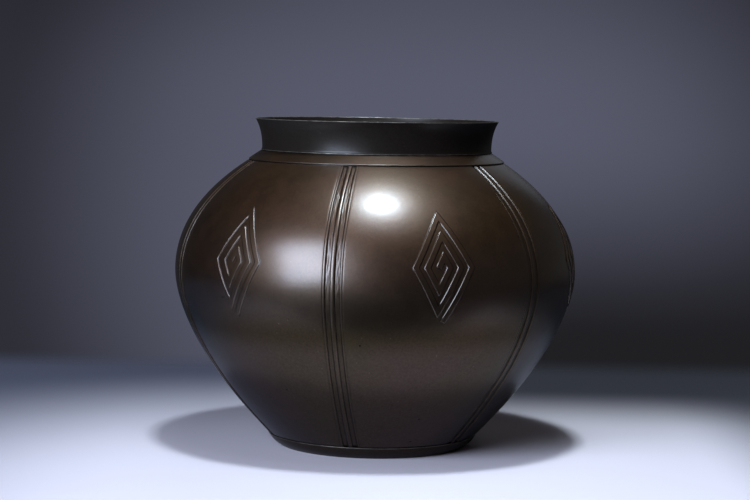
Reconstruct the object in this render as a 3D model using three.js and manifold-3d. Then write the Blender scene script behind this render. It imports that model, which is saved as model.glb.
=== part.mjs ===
// A bronze flower vase: a cast, broad-shouldered body in six panels, closed above by a plain
// sloping shoulder ring and a turned, flaring neck collar, and below by a foot ring that holds
// a separate base plate. The pieces locate on turned registers and are soldered from inside.
// Millimetres, +Z up. The origin is the middle of the foot, on the table.

import * as THREE from 'three';
import { mergeVertices } from 'three/addons/utils/BufferGeometryUtils.js';
import Module from 'manifold-3d';

// Heights, each counted from the one before it
const FOOT_HEIGHT = 9.6;
const BELLY_RISE = 121.9;
const SHOULDER_RISE = 82.0;
const SHOULDER_RING_RISE = 7.3;
const NECK_RISE = 23.9;

// Radii
const BELLY_RADIUS = 150.0;
const NECK_RADIUS = 86.0;
const RIM_FLARE = 5.4;
const SHOULDER_RING_SPREAD = 10.0;
const FOOT_RADIUS = 70.5;
const FOOT_SPREAD = 8.6;

// The sweep of the body's outline: the slope that it leaves each joint with,
// how far it keeps that slope, and how long it stays upright at the belly
const FLANK_SLOPE = THREE.MathUtils.degToRad(45.5);
const FLANK_SWEEP = 94.3;
const BELLY_SWEEP_BELOW = 11.4;
const BELLY_SWEEP_ABOVE = 40.3;
const SHOULDER_SLOPE = THREE.MathUtils.degToRad(33.2);
const SHOULDER_SWEEP = 27.3;

// The neck and the foot
const NECK_UPRIGHT = 15.5;
const NECK_FILLET = 0.6;
const LIP_WIDTH = 1.3;
const FOOT_BULGE = 1.0;
const FOOT_RING_WIDTH = 5.0;
const FOOT_EDGE = 0.6;
const BASE_RECESS = 5.6;
const PLATE_THICKNESS = 3.0;
const PLATE_SEAT = 4.0;

// Walls, seats and registers
const WALL = 3.0;
const BODY_SEAT = 4.4;
const COLLAR_SEAT = 2.2;
const COLLAR_WALL = 2.2;
const COLLAR_SPIGOT = 4.8;
const REGISTER_DEPTH = 2.5;
const REGISTER_WIDTH = 4.0;
const JOINT_BEVEL = 0.8;
const SOLDER_LEG = 1.6;
const FIT_CLEARANCE = 0.3;

// The six bands that part the panels, each a pair of channels with a smooth ridge between
const PANELS = 6;
const CHANNEL_WIDTH = 4.0;
const CHANNEL_DEPTH = 0.8;
const RIDGE_WIDTH = 2.8;

// The thunder fret on each panel, a square spiral drawn out into an upright lozenge
const FRET_HEIGHT = 86.0;
const FRET_WIDTH = 46.0;
const FRET_CENTRE_RISE = 15.0;
const FRET_STRAP = 4.2;
const FRET_RELIEF = 0.6;
const FRET_ROOT = 1.2;
const FRET_TURNS = [
  [-2.5, -2.5], [2.5, -2.5], [2.5, 2.5], [-2.5, 2.5], [-2.5, -1.5], [1.5, -1.5],
  [1.5, 1.5], [-1.5, 1.5], [-1.5, -0.5], [0.5, -0.5], [0.5, 0.5], [-0.5, 0.5],
];

// How finely the round forms are divided
const FACETS = 48;
const FLANK_STEPS = 8;
const SHOULDER_STEPS = 7;
const NECK_STEPS = 5;
const FOOT_STEPS = 3;
const FRET_STEP = 15.0;

// Places that follow from the sizes
const BELLY_Z = FOOT_HEIGHT + BELLY_RISE;
const SHOULDER_Z = BELLY_Z + SHOULDER_RISE;
const NECK_Z = SHOULDER_Z + SHOULDER_RING_RISE;
const RIM_Z = NECK_Z + NECK_RISE;
const SHOULDER_RADIUS = NECK_RADIUS + SHOULDER_RING_SPREAD;
const FOOT_JOINT_RADIUS = FOOT_RADIUS + FOOT_SPREAD;
const RIM_RADIUS = NECK_RADIUS + RIM_FLARE;
const MOUTH_BORE = SHOULDER_RADIUS - BODY_SEAT;
const BODY_FOOT_BORE = FOOT_JOINT_RADIUS - BODY_SEAT;
const COLLAR_BORE = NECK_RADIUS - COLLAR_SEAT;
const SPIGOT_RADIUS = COLLAR_BORE - FIT_CLEARANCE;
const SPIGOT_Z = NECK_Z - COLLAR_SPIGOT;
const FOOT_BORE = FOOT_RADIUS - FOOT_RING_WIDTH;
const PLATE_BORE = FOOT_BORE + PLATE_SEAT;
const SHOULDER_LIP_RADIUS = MOUTH_BORE - FIT_CLEARANCE;
const SHOULDER_LIP_Z = SHOULDER_Z - REGISTER_DEPTH;
const FOOT_LIP_RADIUS = BODY_FOOT_BORE - FIT_CLEARANCE;
const FOOT_LIP_Z = FOOT_HEIGHT + REGISTER_DEPTH;

const wasm = await Module();
wasm.setup();

const point = (radius, z) => new THREE.Vector2(radius, z);

// The body's outline from the foot joint up to the shoulder joint, as two smooth curves
const flank = new THREE.CubicBezierCurve(
  point(FOOT_JOINT_RADIUS, FOOT_HEIGHT),
  point(
    FOOT_JOINT_RADIUS + FLANK_SWEEP * Math.cos(FLANK_SLOPE),
    FOOT_HEIGHT + FLANK_SWEEP * Math.sin(FLANK_SLOPE),
  ),
  point(BELLY_RADIUS, BELLY_Z - BELLY_SWEEP_BELOW),
  point(BELLY_RADIUS, BELLY_Z),
);
const shoulder = new THREE.CubicBezierCurve(
  point(BELLY_RADIUS, BELLY_Z),
  point(BELLY_RADIUS, BELLY_Z + BELLY_SWEEP_ABOVE),
  point(
    SHOULDER_RADIUS + SHOULDER_SWEEP * Math.cos(SHOULDER_SLOPE),
    SHOULDER_Z - SHOULDER_SWEEP * Math.sin(SHOULDER_SLOPE),
  ),
  point(SHOULDER_RADIUS, SHOULDER_Z),
);

// The outline's points, each moved outwards by the given distance
function bodyLine(outwards, flankSteps = FLANK_STEPS, shoulderSteps = SHOULDER_STEPS) {
  const line = [];
  const walk = (curve, steps, first) => {
    for (let step = first; step <= steps; step += 1) {
      const along = step / steps;
      const at = curve.getPoint(along);
      const way = curve.getTangent(along);
      line.push(point(at.x + outwards * way.y, at.y - outwards * way.x));
    }
  };
  walk(flank, flankSteps, 0);
  walk(shoulder, shoulderSteps, 1);
  return line;
}

// The body's inner face from its lower bore to its mouth
function bodyLining() {
  const clearOfSeats = (at) => (
    at.y > FOOT_HEIGHT + JOINT_BEVEL
    && at.y < SHOULDER_Z - JOINT_BEVEL
    && at.x > (at.y < BELLY_Z ? BODY_FOOT_BORE : MOUTH_BORE) + JOINT_BEVEL
  );
  return [
    point(BODY_FOOT_BORE, FOOT_HEIGHT),
    ...bodyLine(-WALL, FLANK_STEPS - 1, SHOULDER_STEPS - 1).filter(clearOfSeats),
    point(MOUTH_BORE, SHOULDER_Z),
  ];
}

// How far out a solder run may reach at a height, just clear of the body's inner face
function solderReach(z) {
  const lining = bodyLining();
  const above = lining.findIndex((at) => at.y >= z);
  const [lower, upper] = [lining[above - 1], lining[above]];
  return THREE.MathUtils.mapLinear(z, lower.y, upper.y, lower.x, upper.x) - 2 * FIT_CLEARANCE;
}

// A line lengthened at both ends
function runOn(line, distance) {
  const beyond = (from, to) => to.clone().lerp(from, -distance / to.distanceTo(from));
  return [beyond(line[1], line[0]), ...line, beyond(line.at(-2), line.at(-1))];
}

// The point a short way along a line from its first point
function stepIn(line, distance) {
  return line[0].clone().lerp(line[1], distance / line[0].distanceTo(line[1]));
}

// A geometry cleaned to bare positions with its shared corners merged
function bare(geometry) {
  geometry.deleteAttribute('normal');
  geometry.deleteAttribute('uv');
  return mergeVertices(geometry, 1e-4);
}

// A closed profile of radius and height turned about the vertical axis
function turned(profile) {
  const closed = [...profile, profile[0].clone()];
  const geometry = new THREE.LatheGeometry(closed, FACETS);
  return bare(geometry.rotateX(Math.PI / 2));
}

function solidOf(geometry) {
  const mesh = new wasm.Mesh({
    numProp: 3,
    vertProperties: new Float32Array(geometry.getAttribute('position').array),
    triVerts: new Uint32Array(geometry.getIndex().array),
  });
  return new wasm.Manifold(mesh);
}

function geometryOf(solid) {
  const mesh = solid.getMesh();
  const geometry = new THREE.BufferGeometry();
  geometry.setAttribute('position', new THREE.BufferAttribute(mesh.vertProperties, 3));
  geometry.setIndex(new THREE.BufferAttribute(mesh.triVerts, 1));
  return geometry;
}

// The cutter of one channel: a bar of constant width laid along the outline, from below the
// surface to clear above it, running out past both joints
function channelCutter(bandAngle, sideways) {
  const clear = CHANNEL_DEPTH * 2;
  const floor = runOn(bodyLine(-CHANNEL_DEPTH), clear);
  const roof = runOn(bodyLine(clear), clear);
  const left = sideways - CHANNEL_WIDTH / 2;
  const right = sideways + CHANNEL_WIDTH / 2;
  const positions = [];
  const indices = [];
  floor.forEach((low, row) => {
    const high = roof[row];
    positions.push(low.x, left, low.y, high.x, left, high.y);
    positions.push(high.x, right, high.y, low.x, right, low.y);
    for (let corner = 0; row > 0 && corner < 4; corner += 1) {
      const a = (row - 1) * 4 + corner;
      const b = (row - 1) * 4 + ((corner + 1) % 4);
      indices.push(a, b, b + 4, a, b + 4, a + 4);
    }
  });
  const end = (floor.length - 1) * 4;
  indices.push(0, 2, 1, 0, 3, 2, end, end + 1, end + 2, end, end + 2, end + 3);
  const geometry = new THREE.BufferGeometry();
  geometry.setAttribute('position', new THREE.BufferAttribute(new Float32Array(positions), 3));
  geometry.setIndex(indices);
  return solidOf(geometry.rotateZ(bandAngle));
}

// The fret's strap outline on the flat: the spiral's turns on a lozenge grid, offset to both
// sides by half a strap, with each long run divided so that it can follow the body's curve
function fretOutline() {
  const across = 2 * Math.abs(FRET_TURNS[0][0]);
  const slope = Math.atan2(FRET_HEIGHT, FRET_WIDTH);
  const pointWidth = FRET_STRAP / 2 / Math.sin(slope);
  const pointHeight = FRET_STRAP / 2 / Math.cos(slope);
  const unitWidth = (FRET_WIDTH / 2 - pointWidth) / across;
  const unitHeight = (FRET_HEIGHT / 2 - pointHeight) / across;
  const turns = FRET_TURNS.map(([a, b]) => point((a - b) * unitWidth, (a + b) * unitHeight));
  const side = (hand) => turns.map((at, index) => {
    const before = turns[index - 1] ?? at.clone().multiplyScalar(2).sub(turns[index + 1]);
    const after = turns[index + 1] ?? at.clone().multiplyScalar(2).sub(before);
    const wayIn = at.clone().sub(before).normalize();
    const wayOut = after.clone().sub(at).normalize();
    const normalIn = point(-wayIn.y, wayIn.x);
    const normalOut = point(-wayOut.y, wayOut.x);
    const mitre = normalIn.clone().add(normalOut).normalize();
    const reach = hand * (FRET_STRAP / 2) / mitre.dot(normalOut);
    return at.clone().addScaledVector(mitre, reach);
  });
  const corners = [...side(1), ...side(-1).reverse()];
  const outline = [];
  corners.forEach((at, index) => {
    const next = corners[(index + 1) % corners.length];
    const parts = Math.max(1, Math.round(at.distanceTo(next) / FRET_STEP));
    for (let part = 0; part < parts; part += 1) outline.push(at.clone().lerp(next, part / parts));
  });
  return outline;
}

// The frets' solid: the strap outline, wrapped to the outline's length above and below its
// middle, cut radially through a thin skin that stands proud of the body
function fretSolid() {
  const surface = bodyLine(0);
  const lengths = [0];
  for (let row = 1; row < surface.length; row += 1) {
    lengths.push(lengths[row - 1] + surface[row].distanceTo(surface[row - 1]));
  }
  const middle = lengths[FLANK_STEPS] + FRET_CENTRE_RISE;
  const onBody = (at) => {
    const along = middle + at.y;
    const row = lengths.findIndex((length) => length >= along);
    const part = (along - lengths[row - 1]) / (lengths[row] - lengths[row - 1]);
    const place = surface[row - 1].clone().lerp(surface[row], part);
    return point(place.x * Math.sin(at.x / place.x), place.y);
  };
  const shape = new THREE.Shape(fretOutline().map(onBody));
  const reach = BELLY_RADIUS + FRET_RELIEF * 2;
  const prism = new THREE.ExtrudeGeometry(shape, { depth: reach, bevelEnabled: false });
  const skin = solidOf(turned([...bodyLine(FRET_RELIEF), ...bodyLine(-FRET_ROOT).reverse()]));
  const cut = solidOf(bare(prism.rotateX(Math.PI / 2).rotateZ(Math.PI / 2)));
  const frets = [];
  for (let panel = 0; panel < PANELS; panel += 1) {
    const turn = (360 / PANELS) * (panel + 0.5);
    frets.push(skin.intersect(cut.rotate([0, 0, turn])));
  }
  return frets.reduce((all, fret) => all.add(fret));
}

// The cast body: its wall between two flat seats, the bands cut in and the frets standing out
function bodyGeometry() {
  const outside = bodyLine(0);
  const profile = [
    point(FOOT_JOINT_RADIUS - JOINT_BEVEL, FOOT_HEIGHT),
    stepIn(outside, JOINT_BEVEL),
    ...outside.slice(1, -1),
    stepIn([...outside].reverse(), JOINT_BEVEL),
    point(SHOULDER_RADIUS - JOINT_BEVEL, SHOULDER_Z),
    ...bodyLining().reverse(),
  ];
  let body = solidOf(turned(profile));
  const sideways = (RIDGE_WIDTH + CHANNEL_WIDTH) / 2;
  for (let band = 0; band < PANELS; band += 1) {
    const bandAngle = (2 * Math.PI * band) / PANELS;
    body = body.subtract(channelCutter(bandAngle, sideways));
    body = body.subtract(channelCutter(bandAngle, -sideways));
  }
  return geometryOf(body.add(fretSolid()));
}

// The plain sloping ring between body and neck, with a register that drops into the mouth
function shoulderRingGeometry() {
  const lipBore = SHOULDER_LIP_RADIUS - REGISTER_WIDTH;
  return turned([
    point(SHOULDER_LIP_RADIUS, SHOULDER_LIP_Z),
    point(SHOULDER_LIP_RADIUS, SHOULDER_Z),
    point(SHOULDER_RADIUS - JOINT_BEVEL, SHOULDER_Z),
    point(SHOULDER_RADIUS - JOINT_BEVEL / 4, SHOULDER_Z + JOINT_BEVEL / 2),
    point(NECK_RADIUS + NECK_FILLET, NECK_Z),
    point(COLLAR_BORE, NECK_Z),
    point(COLLAR_BORE, SPIGOT_Z - SOLDER_LEG),
    point(lipBore, SHOULDER_LIP_Z),
  ]);
}

// The neck collar: a short upright wall that flares to a thin lip, with a spigot below
function neckCollarGeometry() {
  const outside = new THREE.QuadraticBezierCurve(
    point(NECK_RADIUS, NECK_Z + 2 * NECK_FILLET),
    point(NECK_RADIUS, NECK_Z + NECK_UPRIGHT),
    point(RIM_RADIUS, RIM_Z),
  );
  const bore = SPIGOT_RADIUS - COLLAR_WALL;
  const inside = new THREE.QuadraticBezierCurve(
    point(RIM_RADIUS - LIP_WIDTH, RIM_Z),
    point(bore, NECK_Z + NECK_UPRIGHT),
    point(bore, NECK_Z),
  );
  return turned([
    point(SPIGOT_RADIUS, SPIGOT_Z),
    point(SPIGOT_RADIUS, NECK_Z),
    point(NECK_RADIUS + NECK_FILLET, NECK_Z),
    ...outside.getPoints(NECK_STEPS),
    ...inside.getPoints(NECK_STEPS),
    point(bore, SPIGOT_Z),
  ]);
}

// The foot ring: a rounded skirt under the body, a register inside it and a shelf for the plate
function footRingGeometry() {
  const top = point(FOOT_JOINT_RADIUS - JOINT_BEVEL / 4, FOOT_HEIGHT - JOINT_BEVEL);
  const bottom = point(FOOT_RADIUS, FOOT_EDGE);
  const out = FOOT_BULGE * Math.SQRT2;
  const skirt = new THREE.QuadraticBezierCurve(
    bottom,
    point((top.x + bottom.x) / 2 + out, (top.y + bottom.y) / 2 - out),
    top,
  );
  return turned([
    point(FOOT_BORE, 0),
    point(FOOT_RADIUS - FOOT_EDGE, 0),
    ...skirt.getPoints(FOOT_STEPS),
    point(FOOT_JOINT_RADIUS - JOINT_BEVEL, FOOT_HEIGHT),
    point(FOOT_LIP_RADIUS, FOOT_HEIGHT),
    point(FOOT_LIP_RADIUS, FOOT_LIP_Z),
    point(PLATE_BORE, FOOT_LIP_Z),
    point(PLATE_BORE, BASE_RECESS),
    point(FOOT_BORE, BASE_RECESS),
  ]);
}

// The round plate that closes the bottom, laid on the foot ring's shelf
function basePlateGeometry() {
  const radius = PLATE_BORE - FIT_CLEARANCE;
  const profile = [
    point(0, BASE_RECESS),
    point(radius, BASE_RECESS),
    point(radius, BASE_RECESS + PLATE_THICKNESS),
    point(0, BASE_RECESS + PLATE_THICKNESS),
  ];
  return bare(new THREE.LatheGeometry(profile, FACETS).rotateX(Math.PI / 2));
}

// Solder run round the lower end of the collar's spigot
function collarSolderGeometry() {
  return turned([
    point(SPIGOT_RADIUS - SOLDER_LEG, SPIGOT_Z),
    point(SPIGOT_RADIUS, SPIGOT_Z - SOLDER_LEG),
    point(SPIGOT_RADIUS, SPIGOT_Z),
  ]);
}

// Solder run from the end of the shoulder ring's register out to the inside of the body
function shoulderSolderGeometry() {
  const under = SHOULDER_LIP_Z - SOLDER_LEG;
  return turned([
    point(SHOULDER_LIP_RADIUS - SOLDER_LEG, SHOULDER_LIP_Z),
    point(solderReach(under), under),
    point(solderReach(SHOULDER_LIP_Z), SHOULDER_LIP_Z),
  ]);
}

// Solder run from the top of the foot ring's register out to the inside of the body
function footSolderGeometry() {
  const over = FOOT_LIP_Z + SOLDER_LEG;
  return turned([
    point(FOOT_LIP_RADIUS - SOLDER_LEG, FOOT_LIP_Z),
    point(solderReach(FOOT_LIP_Z), FOOT_LIP_Z),
    point(solderReach(over), over),
  ]);
}

// Solder run under the base plate, in the corner with the foot ring
function baseSolderGeometry() {
  const outer = FOOT_BORE - FIT_CLEARANCE;
  return turned([
    point(outer, BASE_RECESS),
    point(outer - SOLDER_LEG, BASE_RECESS),
    point(outer, BASE_RECESS - SOLDER_LEG),
  ]);
}

// The finishes: brown patina on the body, near-black on the neck and foot, grey solder
const patina = { color: 0x4b382b, roughness: 0.36, metalness: 0.85 };
const darkPatina = { color: 0x2b211d, roughness: 0.34, metalness: 0.8 };
const insidePatina = { color: 0x33291f, roughness: 0.6, metalness: 0.6 };
const solder = { color: 0x6f6d68, roughness: 0.5, metalness: 0.9 };

const vase = new THREE.Group();
const pieces = [
  ['body_shell', bodyGeometry(), patina],
  ['shoulder_ring', shoulderRingGeometry(), patina],
  ['neck_collar', neckCollarGeometry(), darkPatina],
  ['foot_ring', footRingGeometry(), darkPatina],
  ['base_plate', basePlateGeometry(), insidePatina],
  ['collar_solder_seam', collarSolderGeometry(), solder],
  ['shoulder_solder_seam', shoulderSolderGeometry(), solder],
  ['foot_solder_seam', footSolderGeometry(), solder],
  ['base_solder_seam', baseSolderGeometry(), solder],
];
for (const [name, geometry, finish] of pieces) {
  const mesh = new THREE.Mesh(geometry, new THREE.MeshStandardMaterial(finish));
  mesh.name = name;
  vase.add(mesh);
}

export default vase;
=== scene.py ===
"""The looks of a cast bronze flower vase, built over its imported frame.

A broad cast body in six panels carries a sloping shoulder ring, a turned and flaring neck collar and a
foot ring that holds the base plate. Solder run in from inside holds the joints. Lengths are in metres,
+Z is up and the origin is the middle of the foot. The floor, the lamps and the camera stand round it.
"""
import logging
import math
from dataclasses import dataclass
from enum import Enum
from functools import cached_property

import bmesh
import bpy
import numpy as np
from mathutils import Matrix, Vector
from mathutils.geometry import delaunay_2d_cdt


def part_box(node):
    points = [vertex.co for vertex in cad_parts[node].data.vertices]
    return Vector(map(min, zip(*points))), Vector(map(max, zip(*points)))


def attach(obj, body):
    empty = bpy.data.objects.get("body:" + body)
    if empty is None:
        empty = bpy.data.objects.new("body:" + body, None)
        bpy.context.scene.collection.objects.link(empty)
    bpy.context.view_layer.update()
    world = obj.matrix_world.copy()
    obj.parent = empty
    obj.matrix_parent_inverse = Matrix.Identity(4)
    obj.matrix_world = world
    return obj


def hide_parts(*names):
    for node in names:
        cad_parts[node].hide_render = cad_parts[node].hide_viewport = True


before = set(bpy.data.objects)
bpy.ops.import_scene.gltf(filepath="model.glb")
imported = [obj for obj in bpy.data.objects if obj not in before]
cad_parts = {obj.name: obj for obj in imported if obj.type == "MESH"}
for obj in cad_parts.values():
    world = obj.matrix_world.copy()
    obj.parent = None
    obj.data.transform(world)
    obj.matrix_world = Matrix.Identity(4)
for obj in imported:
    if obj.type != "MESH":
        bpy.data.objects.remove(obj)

log = logging.getLogger("flower_vase")

MM = 0.001
BODY = "root"
WELD = 0.004 * MM
CREASE = math.radians(60.0)
PANELS = 6
PANEL_TURN = 2 * math.pi / PANELS
WHITE = (1.0, 1.0, 1.0)
NOISE_MIDDLE = 0.5

# The places of sockets that Blender's mix and vector nodes don't tell apart by name.
MIX_SHARE, MIX_FIRST, MIX_SECOND, MIX_COLOUR = 0, 6, 7, 2
VECTOR_VALUE = 1
# What the triangulation gives back: only the triangles inside the outermost loop.
INSIDE_ONLY = 1

Colour = tuple[float, float, float]
Span = tuple[float, float]
Values = np.ndarray | float
Faces = list[list[int]]
Rows = dict[str, np.ndarray]
Socket = bpy.types.NodeSocket


class Mask(Enum):
    """The marks that a mesh carries on its points for the finishes."""

    # Rubbed edges, which the finishes lighten: partly wear, partly a painted highlight.
    WEAR = "wear"
    # Grooves, joints and notches, which the finishes darken: partly settled grime, partly painted shade.
    GROOVE = "groove"


class Slot(Enum):
    """The record's material slots."""

    BROWN = "brown_patina"
    DARK = "dark_patina"
    SOLDER = "solder"


def smooth_step(values: np.ndarray, start: float, end: float) -> np.ndarray:
    """A soft rise from 0 at the start to 1 at the end.

    Args:
        values: Where to read it.
        start: Where the rise begins.
        end: Where it is complete, which may be below the start.

    Returns:
        The rise at each value.
    """
    share = np.clip((values - start) / (end - start), 0.0, 1.0)
    return share * share * (3.0 - 2.0 * share)


def bezier(points: list[Span], count: int) -> np.ndarray:
    """Points along a Bezier curve.

    Args:
        points: Its three or four control points, each a radius and a height.
        count: How many steps to divide it into.

    Returns:
        An array of count + 1 points.
    """
    order = len(points) - 1
    share = np.linspace(0.0, 1.0, count + 1)[:, None]
    line = np.zeros((count + 1, 2))
    for index, point in enumerate(points):
        line += math.comb(order, index) * share**index * (1 - share) ** (order - index) * np.array(point)
    return line


def wander(draws: np.random.Generator, count: int, reach: float, closed: bool = False) -> np.ndarray:
    """Random numbers about 0 that follow one another softly.

    Args:
        draws: The source of the numbers.
        count: How many are wanted.
        reach: Over how many neighbours each one is spread.
        closed: Whether the last one leads back to the first.

    Returns:
        The numbers, of about unit size.
    """
    span = max(1, math.ceil(3 * reach))
    bell = np.exp(-0.5 * (np.arange(-span, span + 1) / reach) ** 2)
    bell /= math.sqrt(float((bell**2).sum()))
    if closed:
        raw = np.pad(draws.standard_normal(count), span, mode="wrap")
    else:
        raw = draws.standard_normal(count + 2 * span)
    return np.convolve(raw, bell, "valid")


def around(radius: np.ndarray, angle: np.ndarray, height: np.ndarray) -> np.ndarray:
    """Places about the vertical axis.

    Args:
        radius: The distances from the axis.
        angle: The angles from +X.
        height: The heights.

    Returns:
        An array of places, three numbers each.
    """
    radius, angle, height = np.broadcast_arrays(radius, angle, height)
    return np.stack([radius * np.cos(angle), radius * np.sin(angle), height], -1).reshape(-1, 3)


class Skin:
    """A closed mesh that is gathered patch by patch and then welded."""

    def __init__(self, name: str) -> None:
        """Starts without points.

        Args:
            name: What the piece will be called.
        """
        self.name = name
        self.count = 0
        self.points: list[np.ndarray] = []
        self.marks: dict[Mask, list[np.ndarray]] = {mask: [] for mask in Mask}
        self.faces: Faces = []
        self.finishes: list[int] = []

    def add_points(self, points: np.ndarray, wear: Values = 0, groove: Values = 0) -> int:
        """Adds points with their marks.

        Args:
            points: An array of places, three numbers each.
            wear: How rubbed each point is, from 0 to 1.
            groove: How deep in a groove each point is, from 0 to 1.

        Returns:
            The index of the first point added.
        """
        first = self.count
        self.points.append(points)
        for mask, values in ((Mask.WEAR, wear), (Mask.GROOVE, groove)):
            spread = np.broadcast_to(np.asarray(values, np.float32).reshape(-1), len(points))
            self.marks[mask].append(spread)
        self.count += len(points)
        return first

    def add_faces(self, faces: Faces, finish: int = 0) -> None:
        """Adds faces.

        Args:
            faces: The point indices of each face.
            finish: The place of their finish in the piece's list.
        """
        self.faces.extend(faces)
        self.finishes.extend([finish] * len(faces))

    def add_grid(self, first: int, rows: int, columns: int, closed: bool, finish: int = 0) -> None:
        """Joins a grid of points, stored row by row, with four-sided faces.

        Args:
            first: The index of its first point.
            rows: How many rows it has.
            columns: How many points each row has.
            closed: Whether the last column joins the first.
            finish: The place of its finish in the piece's list.
        """
        across = np.arange(columns if closed else columns - 1)
        after = (across + 1) % columns
        for row in range(rows - 1):
            low = first + row * columns
            high = low + columns
            quads = np.stack([low + across, low + after, high + after, high + across], 1)
            self.add_faces(quads.tolist(), finish)

    def stitch(self, one: np.ndarray, other: np.ndarray, finish: int = 0) -> None:
        """Joins two rings about the axis that have different numbers of points.

        Args:
            one: The indices of the first ring.
            other: The indices of the second ring.
            finish: The place of the finish in the piece's list.
        """
        places = np.concatenate(self.points)
        turn = 2 * math.pi
        rings = []
        angles = []
        for ring in (one, other):
            angle = np.arctan2(places[ring, 1], places[ring, 0]) % turn
            order = np.argsort(angle)
            rings.append(ring[order])
            angles.append(np.append(angle[order], angle[order][0] + turn))
        at = [0, 0]
        ends = [len(ring) for ring in rings]
        while at != ends:
            side = 0 if at[1] == ends[1] or (at[0] < ends[0] and self._leads(angles, at)) else 1
            here = [int(rings[k][at[k] % ends[k]]) for k in (0, 1)]
            at[side] += 1
            self.add_faces([[*here, int(rings[side][at[side] % ends[side]])]], finish)

    @staticmethod
    def _leads(angles: list[np.ndarray], at: list[int]) -> bool:
        """Whether the first ring's next point comes before the second ring's."""
        return angles[0][at[0] + 1] <= angles[1][at[1] + 1]

    def build(self) -> bpy.types.Object:
        """Welds the patches and makes the object.

        Returns:
            The new object, linked to the scene.
        """
        data = bpy.data.meshes.new(self.name)
        data.from_pydata(np.concatenate(self.points).tolist(), [], self.faces)
        data.polygons.foreach_set("material_index", np.array(self.finishes, np.int32))
        for mask, values in self.marks.items():
            mark = data.attributes.new(mask.value, "FLOAT", "POINT")
            mark.data.foreach_set("value", np.concatenate(values))
        work = bmesh.new()
        work.from_mesh(data)
        bmesh.ops.remove_doubles(work, verts=work.verts, dist=WELD)
        bmesh.ops.recalc_face_normals(work, faces=work.faces)
        for face in work.faces:
            face.smooth = True
        work.to_mesh(data)
        work.free()
        data.set_sharp_from_angle(angle=CREASE)
        thing = bpy.data.objects.new(self.name, data)
        bpy.context.scene.collection.objects.link(thing)
        return thing


@dataclass(frozen=True)
class Outline:
    """The cast body's outline from the foot joint up to the shoulder joint.

    Two smooth curves meet where the belly is widest. The ends' heights and the belly's radius come from
    the frame, and the rest says how the curves sweep.
    """

    bottom: float
    top: float
    belly_radius: float
    belly_rise: float = 121.9 * MM
    foot_radius: float = 79.1 * MM
    mouth_radius: float = 96.0 * MM
    flank_slope: float = math.radians(45.5)
    flank_sweep: float = 94.3 * MM
    belly_sweep_below: float = 11.4 * MM
    belly_sweep_above: float = 40.3 * MM
    shoulder_slope: float = math.radians(33.2)
    shoulder_sweep: float = 27.3 * MM
    steps: int = 400

    @classmethod
    def from_frame(cls) -> "Outline":
        """The outline that fits the frame's cast body."""
        low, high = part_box("body_shell")
        return cls(bottom=low.z, top=high.z, belly_radius=high.x)

    @cached_property
    def line(self) -> np.ndarray:
        """Closely spaced points of the whole outline.

        Returns:
            An array of points, each a radius and a height.
        """
        belly_z = self.bottom + self.belly_rise
        flank = bezier(
            [
                (self.foot_radius, self.bottom),
                (
                    self.foot_radius + self.flank_sweep * math.cos(self.flank_slope),
                    self.bottom + self.flank_sweep * math.sin(self.flank_slope),
                ),
                (self.belly_radius, belly_z - self.belly_sweep_below),
                (self.belly_radius, belly_z),
            ],
            self.steps,
        )
        shoulder = bezier(
            [
                (self.belly_radius, belly_z),
                (self.belly_radius, belly_z + self.belly_sweep_above),
                (
                    self.mouth_radius + self.shoulder_sweep * math.cos(self.shoulder_slope),
                    self.top - self.shoulder_sweep * math.sin(self.shoulder_slope),
                ),
                (self.mouth_radius, self.top),
            ],
            self.steps,
        )
        return np.vstack([flank, shoulder[1:]])

    @cached_property
    def lengths(self) -> np.ndarray:
        """How far along the outline each of its points lies."""
        return np.concatenate([[0.0], np.cumsum(np.hypot(*np.diff(self.line, axis=0).T))])

    @cached_property
    def length(self) -> float:
        """The whole length of the outline."""
        return float(self.lengths[-1])

    @cached_property
    def belly_along(self) -> float:
        """How far along the outline the belly is."""
        return float(self.lengths[self.steps])

    @cached_property
    def ways(self) -> np.ndarray:
        """The unit direction of the outline, upwards, at each of its points."""
        ways = np.gradient(self.line, self.lengths, axis=0)
        return ways / np.hypot(*ways.T)[:, None]

    def way(self, along: Values) -> tuple[np.ndarray, np.ndarray]:
        """The outline's direction at places along it, as its shares outwards and upwards."""
        return tuple(np.interp(along, self.lengths, self.ways[:, k]) for k in (0, 1))

    def at(self, along: np.ndarray, outwards: Values = 0.0) -> tuple[np.ndarray, np.ndarray]:
        """Places on the outline, or beside it.

        Args:
            along: How far along the outline each place is.
            outwards: How far outside the outline it is, along the normal.

        Returns:
            The radii and the heights.
        """
        radius, height = (np.interp(along, self.lengths, self.line[:, k]) for k in (0, 1))
        way_out, way_up = self.way(along)
        return radius + outwards * way_up, height - outwards * way_out


class Edge(Enum):
    """The edges of a band's section that waver together as the chisel went along."""

    NONE = 0
    RIDGE = 1
    PANEL = 2
    LINE = 3


@dataclass(frozen=True)
class Station:
    """One lengthwise line of a band's section, right of the middle of the ridge.

    It lies at a share of the ridge's half width, plus a share of the channel's width and an offset. The
    rough share says how much of the chisel's unevenness it gets.
    """

    ridge: float
    channel: float
    offset: float
    height: float
    # Wear lightens a line, partly as a painted highlight; groove darkens it, partly as painted shade.
    wear: float = 0.0
    groove: float = 0.0
    rough: float = 0.0
    edge: Edge = Edge.NONE


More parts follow.
